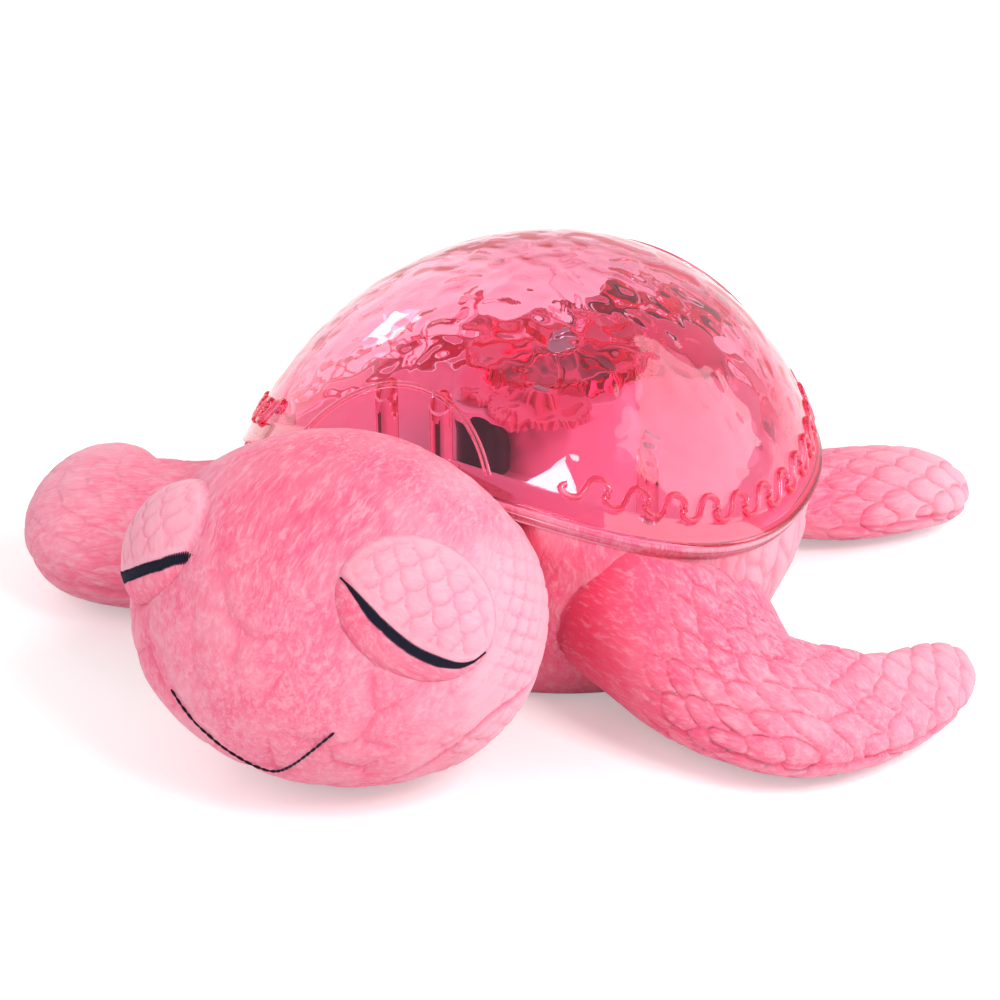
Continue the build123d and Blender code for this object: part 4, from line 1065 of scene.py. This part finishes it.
# %% Eye lines and smile
navy_thread, tree, gloss = new_material("navy_thread")
twist = noise(tree, own_place(tree), 2400.0, Detail=2.0)[0]
wire(tree, gloss, {
    "Base Color": mixed(tree, twist, (0.004, 0.004, 0.014), (0.013, 0.012, 0.03)),
    "Normal": bumped(tree, twist, 0.5, 0.0002), "Roughness": 0.65, "Specular IOR Level": 0.15})
satin_pitch = 0.00052
satin_half = 0.0023
satin_radius = 0.00036
smile_pitch = 0.0032
smile_radius = 0.00052
smile_spots = 400
smile_half = 0.032
smile_aside = 0.0024
smile_low = 0.0215
smile_rise = 0.0265
smile_round = 0.006
smile_overlap = 1.12


def sew(name, points, lies, lengths, radius):
    """Lays one thread on each point."""
    piece = mesh_piece(name, points)
    kept = piece.data.attributes.new("lies", "FLOAT_VECTOR", "POINT")
    kept.data.foreach_set("vector", lies.astype(np.float32).ravel())
    keep_value(piece, "length", lengths)
    run_tree(piece, sewing, {"Thread radius": radius, "Finish": navy_thread})
    smooth(piece)
    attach(piece, "base")
    return piece


def eye_line(side, name):
    path, run = smooth_line(eye_lines[side], 400)
    count = int(run[-1] / satin_pitch)
    spots = spots_on(path, run, np.linspace(0, run[-1], count))
    lid_tree = BVHTree.FromObject(lids[side], bpy.context.evaluated_depsgraph_get())
    near = [lid_tree.find_nearest(Vector(p)) for p in lid_surface(side, spots[:, 0], spots[:, 1])]
    points = np.array([tuple(hit[0]) for hit in near])
    normal = np.array([tuple(hit[1]) for hit in near])
    ahead = np.gradient(points, axis=0)
    across = np.cross(normal, ahead)
    across /= np.linalg.norm(across, axis=1, keepdims=True)
    slant = ahead / np.linalg.norm(ahead, axis=1, keepdims=True)
    share = np.linspace(0, 1, count)
    taper = np.clip(share / 0.25, 0.12, 1) ** 0.8 if side > 0 else np.clip(share / 0.03, 0.6, 1)
    taper *= np.clip((1 - share) / 0.3, 0.14, 1) ** 0.9
    return sew(name, points + 0.0002 * normal, across + 0.22 * slant, 2 * satin_half * taper, satin_radius)


eye_pieces = [eye_line(1, "eye_line_left"), eye_line(-1, "eye_line_right")]
out_x = np.linspace(-smile_half, smile_half, smile_spots)
from_middle = (np.hypot(out_x, smile_round) - smile_round) / (np.hypot(smile_half, smile_round) - smile_round)
smile_z = smile_low + smile_rise * from_middle**1.1
in_front = np.column_stack((out_x + smile_aside, np.full(smile_spots, head_low.y - 0.02), smile_z))
skin = [head_tree.ray_cast(Vector(p), Vector((0.0, 1.0, 0.0))) for p in in_front]
line = np.array([tuple(hit[0]) for hit in skin])
run = run_of(line)
count = int(run[-1] / smile_pitch)
spots = spots_on(line, run, (np.arange(count) + 0.5) * run[-1] / count)
lengths = np.full(count, smile_overlap * smile_pitch)
smile = sew("smile", spots, np.gradient(spots, axis=0), lengths, smile_radius)
print("threads:", len(smile.data.polygons), [len(piece.data.polygons) for piece in eye_pieces], "faces")

# %% [markdown]
# ## Seat every stuffed piece in the frame
# A piece that stands for a CAD node hides it, moves with its body and says how full it is. A front flipper's
# piece isn't carried by its body: it is fixed in place where it stands.

# %% Seat the stuffed pieces
plush_pieces = (
    (head, "head", "base", 0.8),
    (lids[1], "eyelid_left", "base", 0.7),
    (lids[-1], "eyelid_right", "base", 0.7),
    (body, "plush_body", "base", 0.8),
    (tail, "tail", "base", 0.7),
    (front_left, "flipper_front_left", "front_left_flipper", 0.8),
    (front_right, "flipper_front_right", "front_right_flipper", 0.8),
    (rear_left, "flipper_rear_left", "rear_left_flipper", 0.7),
    (rear_right, "flipper_rear_right", "rear_right_flipper", 0.7),
)
shoulder_bends = {
    "front_left_flipper": ((0.0900, -0.0142, 0.04), (0.1330, -0.0292, 0.03)),
    "front_right_flipper": ((-0.0900, -0.0142, 0.04), (-0.1330, -0.0292, 0.03)),
}
for piece, node, carrier, fill in plush_pieces:
    if carrier in shoulder_bends:
        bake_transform(piece)
    else:
        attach(piece, carrier)
    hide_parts(node)
print(len(plush_pieces), "stuffed pieces seated")

# %% [markdown]
# ## Clear dome
# The shell is a moulded cap of clear pink plastic, 2.4 mm thick, with a lip and a smooth band at its rim. It is
# built as rings of points on the same ellipsoid as the frame's dome, outside and inside, so that light bends in a
# real wall. A tree of Geometry Nodes then presses the water ripple into both faces.

# %% Dome shell
dome_wall = 0.0024
dome_spokes = 320
dome_rows = 84
lip_height = 0.0012
lip_edge = 0.0012
band_height = 0.008
band_proud = 0.0007
lip_step = 0.0003
band_step = 0.0004
spoke = np.linspace(0, 2 * pi, dome_spokes, endpoint=False)


def shell(drop, grow, turn=spoke):
    """Points on the dome grown by that much, at an angle drop from its crown and turned round it by turn."""
    way = np.column_stack((np.cos(turn) * np.sin(drop), np.sin(turn) * np.sin(drop), np.cos(drop)))
    return dome_centre + (dome_half + grow) * way


def rim_drop(grow):
    low, high = np.zeros(dome_spokes), np.full(dome_spokes, pi / 2)
    for _ in range(40):
        middle = (low + high) / 2
        edge = shell(middle, grow)
        over = edge[:, 2] > rim_z(edge[:, 1])
        low, high = np.where(over, middle, low), np.where(over, high, middle)
    return low


edge_drop = rim_drop(0.0)
speed = np.linalg.norm(shell(edge_drop + 1e-4, 0.0) - shell(edge_drop, 0.0), axis=1) / 1e-4
outer_rows = []
for up, grow in ((0.0, lip_edge), (lip_height, lip_edge), (lip_height + lip_step, band_proud),
                 (band_height, band_proud), (band_height + band_step, 0.0)):
    outer_rows.append((shell(edge_drop - up / speed, grow), np.full(dome_spokes, up)))
start_drop = edge_drop - (band_height + band_step) / speed
for share in np.linspace(0, 1, dome_rows, endpoint=False)[1:]:
    drop = start_drop * (1 - share)
    outer_rows.append((shell(drop, 0.0), (edge_drop - drop) * speed))
inner_edge = rim_drop(-dome_wall)
inner_rows = []
for share in np.linspace(1, 0, dome_rows + 5)[1:]:
    drop = inner_edge * (1 - share)
    inner_rows.append((shell(drop, -dome_wall), (inner_edge - drop) * speed))
crowns = [dome_centre + (0, 0, dome_half[2]), dome_centre + (0, 0, dome_half[2] - dome_wall)]
points = np.vstack([row for row, _ in outer_rows] + [row for row, _ in inner_rows] + [crowns])
heights = np.concatenate([up for _, up in outer_rows + inner_rows] + [np.array((0.2, 0.2))])
outer_count, inner_count = len(outer_rows), len(inner_rows)
inner_start = outer_count * dome_spokes
faces = grid_faces(outer_count, dome_spokes) + grid_faces(inner_count, dome_spokes, inner_start)
faces += fan(inner_start - dome_spokes, len(points) - 2, dome_spokes) + fan(inner_start, len(points) - 1, dome_spokes)
faces += circle_strip(inner_start + (inner_count - 1) * dome_spokes, 0, dome_spokes)
dome = closed_piece("dome_clear_shell", points, faces)
smooth(dome)
print("dome:", len(dome.data.polygons), "faces")

# %% Water ripple
ripple_start = 0.019
ripple_full = 0.026
arch_radius = 0.045
arch_middle_z = 0.0795
calm_edge = 0.004
inner_ripple = 0.25
ripple_pitch = 0.0085
ripple_depth = 0.0007
ripple, given = new_tree("water_ripple", {
    "Pitch": "NodeSocketFloat", "Height": "NodeSocketFloat", "Finish": "NodeSocketMaterial"})
spot = put(ripple, "GeometryNodeInputPosition")[0]
wavelength = maths(ripple, "DIVIDE", 1.0, given["Pitch"])
wave = noise(ripple, spot, wavelength, Detail=0.0, Distortion=0.5)[0]
lift = maths(ripple, "MULTIPLY", maths(ripple, "SUBTRACT", wave, 0.5), given["Height"])
lift = maths(ripple, "MULTIPLY", lift, kept_value(ripple, "ripple"))
normal = put(ripple, "GeometryNodeInputNormal")[0]
offset = put(ripple, "ShaderNodeVectorMath", {0: normal, "Scale": lift}, operation="SCALE")[0]
moved = put(ripple, "GeometryNodeSetPosition", {"Geometry": given["Geometry"], "Offset": offset})[0]
end_tree(ripple, moved, given["Finish"])

place = points_of(dome)
in_arch = arch_radius - np.hypot(place[:, 0], place[:, 2] - arch_middle_z)
calm = fade(in_arch / calm_edge)
outer_face = np.arange(len(place)) < inner_start
wet = fade((heights - ripple_start) / (ripple_full - ripple_start)) * (1 - calm)
keep_value(dome, "ripple", np.where(outer_face, wet, inner_ripple * wet))
print("ripple tree with", len(ripple.nodes), "nodes")

# %% [markdown]
# ## Clear pink plastic
# Tinted plastic is paler where it is thin and red where light runs a long way through it, as along an edge or up a
# screw post. So the colour isn't painted on: the surface is clear, and the wall soaks up green and blue as light
# travels in it. Lamps shine straight through the shell, so that what is inside is lit.

# %% Clear pink plastic
tint = (0.965, 0.22, 0.49, 1.0)
tint_density = 255.0
bends_most = 5.0
mirrors_most = 1.5


def clear_plastic(name, roughness, density=tint_density):
    """Clear plastic that soaks up light by that density. Lamps, and rays that are lost in its wall, pass through."""
    material, tree, wall = new_material(name)
    wire(tree, wall, {
        "Base Color": (1.0, 0.97, 0.975, 1.0), "Roughness": roughness, "IOR": 1.49, "Transmission Weight": 1.0})
    through = put(tree, "ShaderNodeBsdfTransparent", {"Color": (1.0, 0.93, 0.95, 1.0)})[0]
    path = put(tree, "ShaderNodeLightPath")
    shining = maths(tree, "MAXIMUM", path["Is Shadow Ray"], path["Is Diffuse Ray"])
    for depth, most in (("Transmission Depth", bends_most), ("Glossy Depth", mirrors_most)):
        shining = maths(tree, "MAXIMUM", shining, maths(tree, "GREATER_THAN", path[depth], most))
    both = put(tree, "ShaderNodeMixShader", {0: shining, 1: wall.outputs[0], 2: through})[0]
    soak = put(tree, "ShaderNodeVolumeAbsorption", {"Color": tint, "Density": density})[0]
    wire(tree, tree.nodes["Material Output"], {"Surface": both, "Volume": soak})
    return material


dome_plastic = clear_plastic("dome_plastic", 0.015)
run_tree(dome, ripple, {"Pitch": ripple_pitch, "Height": ripple_depth, "Finish": dome_plastic})
print("dome rippled:", len(dome.data.polygons), "faces")

# %% [markdown]
# ## Scroll, arches, posts and button panel
# A running scroll is moulded above the smooth band: one small wave that repeats all the way round, apart from the
# two arched panels, which have a rounded ridge of their own. Both are beads that follow a path on the dome, so a
# tree of Geometry Nodes sweeps a round bead along guide lines. Screw posts hang from the dome's inside, and the
# panel behind has three holes for the buttons.

# %% Beads on the dome
scroll_pitch = 0.0162
scroll_height = 0.0098
scroll_start = 0.0092
scroll_bead = 0.0012
arch_bead = 0.0013
bead_sides = 10
bead_density = 600.0
wave_points = 34
arch_points = 160
arch_overrun = 0.35
arch_inset = 0.001
scroll_margin = 0.001
bead_proud = 0.3
wave_path = ((0.10, 0.44), (0.00, 0.40), (-0.05, 0.22), (0.04, 0.05), (0.22, 0.0), (0.40, 0.12), (0.54, 0.45),
             (0.68, 0.80), (0.85, 0.99), (1.03, 0.95), (1.14, 0.76), (1.12, 0.57), (1.02, 0.52))
bead, given = new_tree("swept_bead", {"Bead radius": "NodeSocketFloat", "Finish": "NodeSocketMaterial"})
line = put(bead, "GeometryNodeMeshToCurve", {"Mesh": given["Geometry"]})[0]
section = put(bead, "GeometryNodeCurvePrimitiveCircle", {"Resolution": bead_sides, "Radius": given["Bead radius"]})[0]
swept = put(bead, "GeometryNodeCurveToMesh", {"Curve": line, "Profile Curve": section, "Fill Caps": True})[0]
end_tree(bead, swept, given["Finish"])


def sweep(name, lines, radius, finish):
    """A piece of beads, one along each line."""
    points, edges = [], []
    for line in lines:
        edges += [(len(points) + n, len(points) + n + 1) for n in range(len(line) - 1)]
        points += list(line)
    piece = mesh_piece(name, points, edges)
    run_tree(piece, bead, {"Bead radius": radius, "Finish": finish})
    smooth(piece)
    return piece


rim_run = shell(edge_drop - (scroll_start + scroll_height / 2) / speed, 0.0)
run = run_of(np.vstack((rim_run, rim_run[:1])))
wave_count = int(round(run[-1] / scroll_pitch))
wave_line, _ = smooth_line([(1000 * u, 1000 * v) for u, v in wave_path], wave_points)


def above_rim(distance, up, grow):
    """The place on the dome at that distance round the rim and that height above it."""
    all_round = np.append(spoke, 2 * pi)
    turn = np.interp(distance % run[-1], run, all_round)
    drop, rate = (np.interp(turn, all_round, np.append(each, each[0])) for each in (edge_drop, speed))
    return shell(drop - up / rate, grow, turn)


scroll_lines = []
for n in range(wave_count):
    spots = above_rim((n + wave_line[:, 0]) * run[-1] / wave_count, scroll_start + scroll_height * wave_line[:, 1],
                      bead_proud * scroll_bead)
    if np.abs(spots[:, 0]).min() > arch_radius + scroll_margin:
        scroll_lines.append(spots)
scroll = sweep("dome_scroll", scroll_lines, scroll_bead, clear_plastic("bead_plastic", 0.015, bead_density))
arch_lines = []
for end in (-1, 1):
    turn = np.linspace(-arch_overrun, pi + arch_overrun, arch_points)
    x, z = (arch_radius - arch_inset) * np.cos(turn), arch_middle_z + (arch_radius - arch_inset) * np.sin(turn)
    left = np.maximum(1 - (x / dome_half[0]) ** 2 - ((z - dome_centre[2]) / dome_half[2]) ** 2, 0.0)
    y = dome_centre[1] + end * dome_half[1] * np.sqrt(left)
    kept = z > rim_z(y) + band_height
    arch_lines.append(np.column_stack((x, y, z))[kept])
arches = sweep("dome_arches", arch_lines, arch_bead, dome_plastic)
print(len(scroll_lines), "scroll waves;", len(scroll.data.polygons), "and", len(arches.data.polygons), "faces")

# %% Screw posts
post_places = ((11.0, -61.2), (-11.0, -61.2), (75.7, -29.2), (-75.7, -29.2), (66.5, 90.8), (-66.5, 90.8))
post_radius = 0.004
post_bore = 0.0015
bore_depth = 0.009
post_sides = 32
post_density = 80.0
point_radius = 0.0002
foot_gap = 0.0004
circle = circle_points(post_sides)


def screw_post(x, y):
    """A post from the rim's height up into the wall, with a blind hole for its screw."""
    middle = np.array((x, y))
    foot = rim_z(np.array(y)) + foot_gap
    inner = dome_half - 0.5 * dome_wall
    profile = ((post_radius, None), (post_radius, 0.0), (post_bore, 0.0), (post_bore, bore_depth),
               (point_radius, bore_depth))
    rows = []
    for radius, up in profile:
        flat = middle + radius * circle
        if up is None:
            z = dome_centre[2] + inner[2] * np.sqrt(1 - np.sum(((flat - dome_centre[:2]) / inner[:2]) ** 2, axis=1))
        else:
            z = np.full(post_sides, foot + up)
        rows.append(np.column_stack((flat, z)))
    top = rows[0].copy()
    top[:, :2] = middle + point_radius * circle
    top[:, 2] = rows[0][:, 2].mean()
    return np.vstack([top] + rows)


rows_each = 6
points = np.vstack([screw_post(x / 1000, y / 1000) for x, y in post_places])
faces = []
for n in range(len(post_places)):
    start = n * rows_each * post_sides
    faces += grid_faces(rows_each, post_sides, start)
    faces.append(tuple(start + i for i in reversed(range(post_sides))))
    faces.append(tuple(start + (rows_each - 1) * post_sides + i for i in range(post_sides)))
posts = closed_piece("dome_posts", points, faces)
posts.data.materials.append(clear_plastic("post_plastic", 0.02, post_density))
print("posts:", len(posts.data.polygons), "faces")

# %% Button panel
panel_spot = np.array((0.0, 0.13347, 0.090))
panel_normal = unit((0.0, 0.8175, 0.5759))
panel_half = np.array((0.0298, 0.0098))
panel_proud = 0.0010
hole_radius = 0.0065
hole_places = (-0.020, 0.0, 0.020)
hole_depths = (-0.012, 0.006)
panel_sides = 64
panel_up = np.cross(panel_normal, (1.0, 0.0, 0.0))


def prism(name, outline, low, high):
    """A solid with that outline on the panel, from low to high above it."""
    flat = panel_spot + np.outer(outline[:, 0], (1.0, 0.0, 0.0)) + np.outer(outline[:, 1], panel_up)
    points = np.vstack((flat + low * panel_normal, flat + high * panel_normal))
    count = len(outline)
    faces = grid_faces(2, count) + [tuple(range(count)), tuple(range(count, 2 * count))]
    piece = closed_piece(name, points, faces)
    piece.data.materials.append(dome_plastic)
    return piece


circle = circle_points(panel_sides)
slot_end = panel_half[0] - panel_half[1]
slot_line = panel_half[1] * circle
slot_line[:, 0] += np.where(circle[:, 0] > 0, slot_end, -slot_end)
panel = prism("panel", slot_line, -0.5 * dome_wall, panel_proud)
with_modifier(dome, "BOOLEAN", object=panel, operation="UNION", solver="EXACT")
bpy.data.objects.remove(panel)
for x in hole_places:
    hole = prism("hole", hole_radius * circle + (x, 0.0), *hole_depths)
    with_modifier(dome, "BOOLEAN", object=hole, operation="DIFFERENCE", solver="EXACT")
    bpy.data.objects.remove(hole)
smooth(dome)
for piece in (dome, scroll, arches, posts):
    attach(piece, "base")
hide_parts("dome")
print("dome with its panel:", len(dome.data.polygons), "faces")

# %% [markdown]
# ## Pieces inside and underneath
# The moulded pieces keep their CAD shapes and only need a finish: glossy pink for the deck, rose for the gears,
# plated steel for screws, black for the motor. Each has a fine grain and a slight change of colour.

# %% Finishes for the moulded pieces
def moulded(name, colour, roughness, grain=0.0012, metal=0.0, coat=0.0):
    """Moulded or plated material: a fine grain in its bump and a slight drift in its colour."""
    material, tree, surface = new_material(name)
    place = own_place(tree)
    drift, fine = noise(tree, place, 60.0)[0], noise(tree, place, 1.0 / grain, Detail=3.0)[0]
    wire(tree, surface, {
        "Base Color": mixed(tree, drift, tuple(0.82 * c for c in colour), colour),
        "Normal": bumped(tree, fine, 0.15, 0.0002), "Roughness": roughness, "Metallic": metal, "Coat Weight": coat})
    return material


disc_plastic = clear_plastic("disc_plastic", 0.05)
finishes = {
    moulded("deck_gloss", (0.98, 0.42, 0.60), 0.25, coat=0.3): ("deck", "light_tower", "button_bracket"),
    moulded("tub_moulding", (0.85, 0.30, 0.40), 0.5): ("tub", "battery_door", "hem_ring"),
    moulded("button_gloss", (0.80, 0.05, 0.12), 0.2, coat=0.4): ("button_light", "button_wave", "button_sound"),
    moulded("gear_rose", (0.88, 0.20, 0.33), 0.4): ("idler_gear", "motor_pinion"),
    moulded("plated_steel", (0.62, 0.62, 0.64), 0.3, metal=1.0): (
        "dome_screws", "tub_screws", "door_screw", "board_screws", "tower_screws", "disc_spindle", "disc_screw",
        "idler_pin", "motor_shaft", "motor_screws", "bracket_screws", "button_board_screws", "battery_contacts"),
    moulded("motor_paint", (0.012, 0.008, 0.02), 0.35): ("motor",),
    moulded("board_laminate", (0.02, 0.10, 0.04), 0.4): ("main_board", "led_board", "button_board"),
    moulded("part_black", (0.02, 0.02, 0.022), 0.5): ("sound_chip", "capacitor", "tact_switches", "speaker"),
    moulded("cell_wrap", (0.05, 0.06, 0.08), 0.3): ("aa_cells",),
    moulded("led_resin", (0.92, 0.93, 0.95), 0.15): ("leds",),
    disc_plastic: ("ripple_disc",),
}
for finish, names in finishes.items():
    for name in names:
        nodes[name].data.materials.clear()
        nodes[name].data.materials.append(finish)
print(sum(len(names) for names in finishes.values()), "moulded pieces finished")
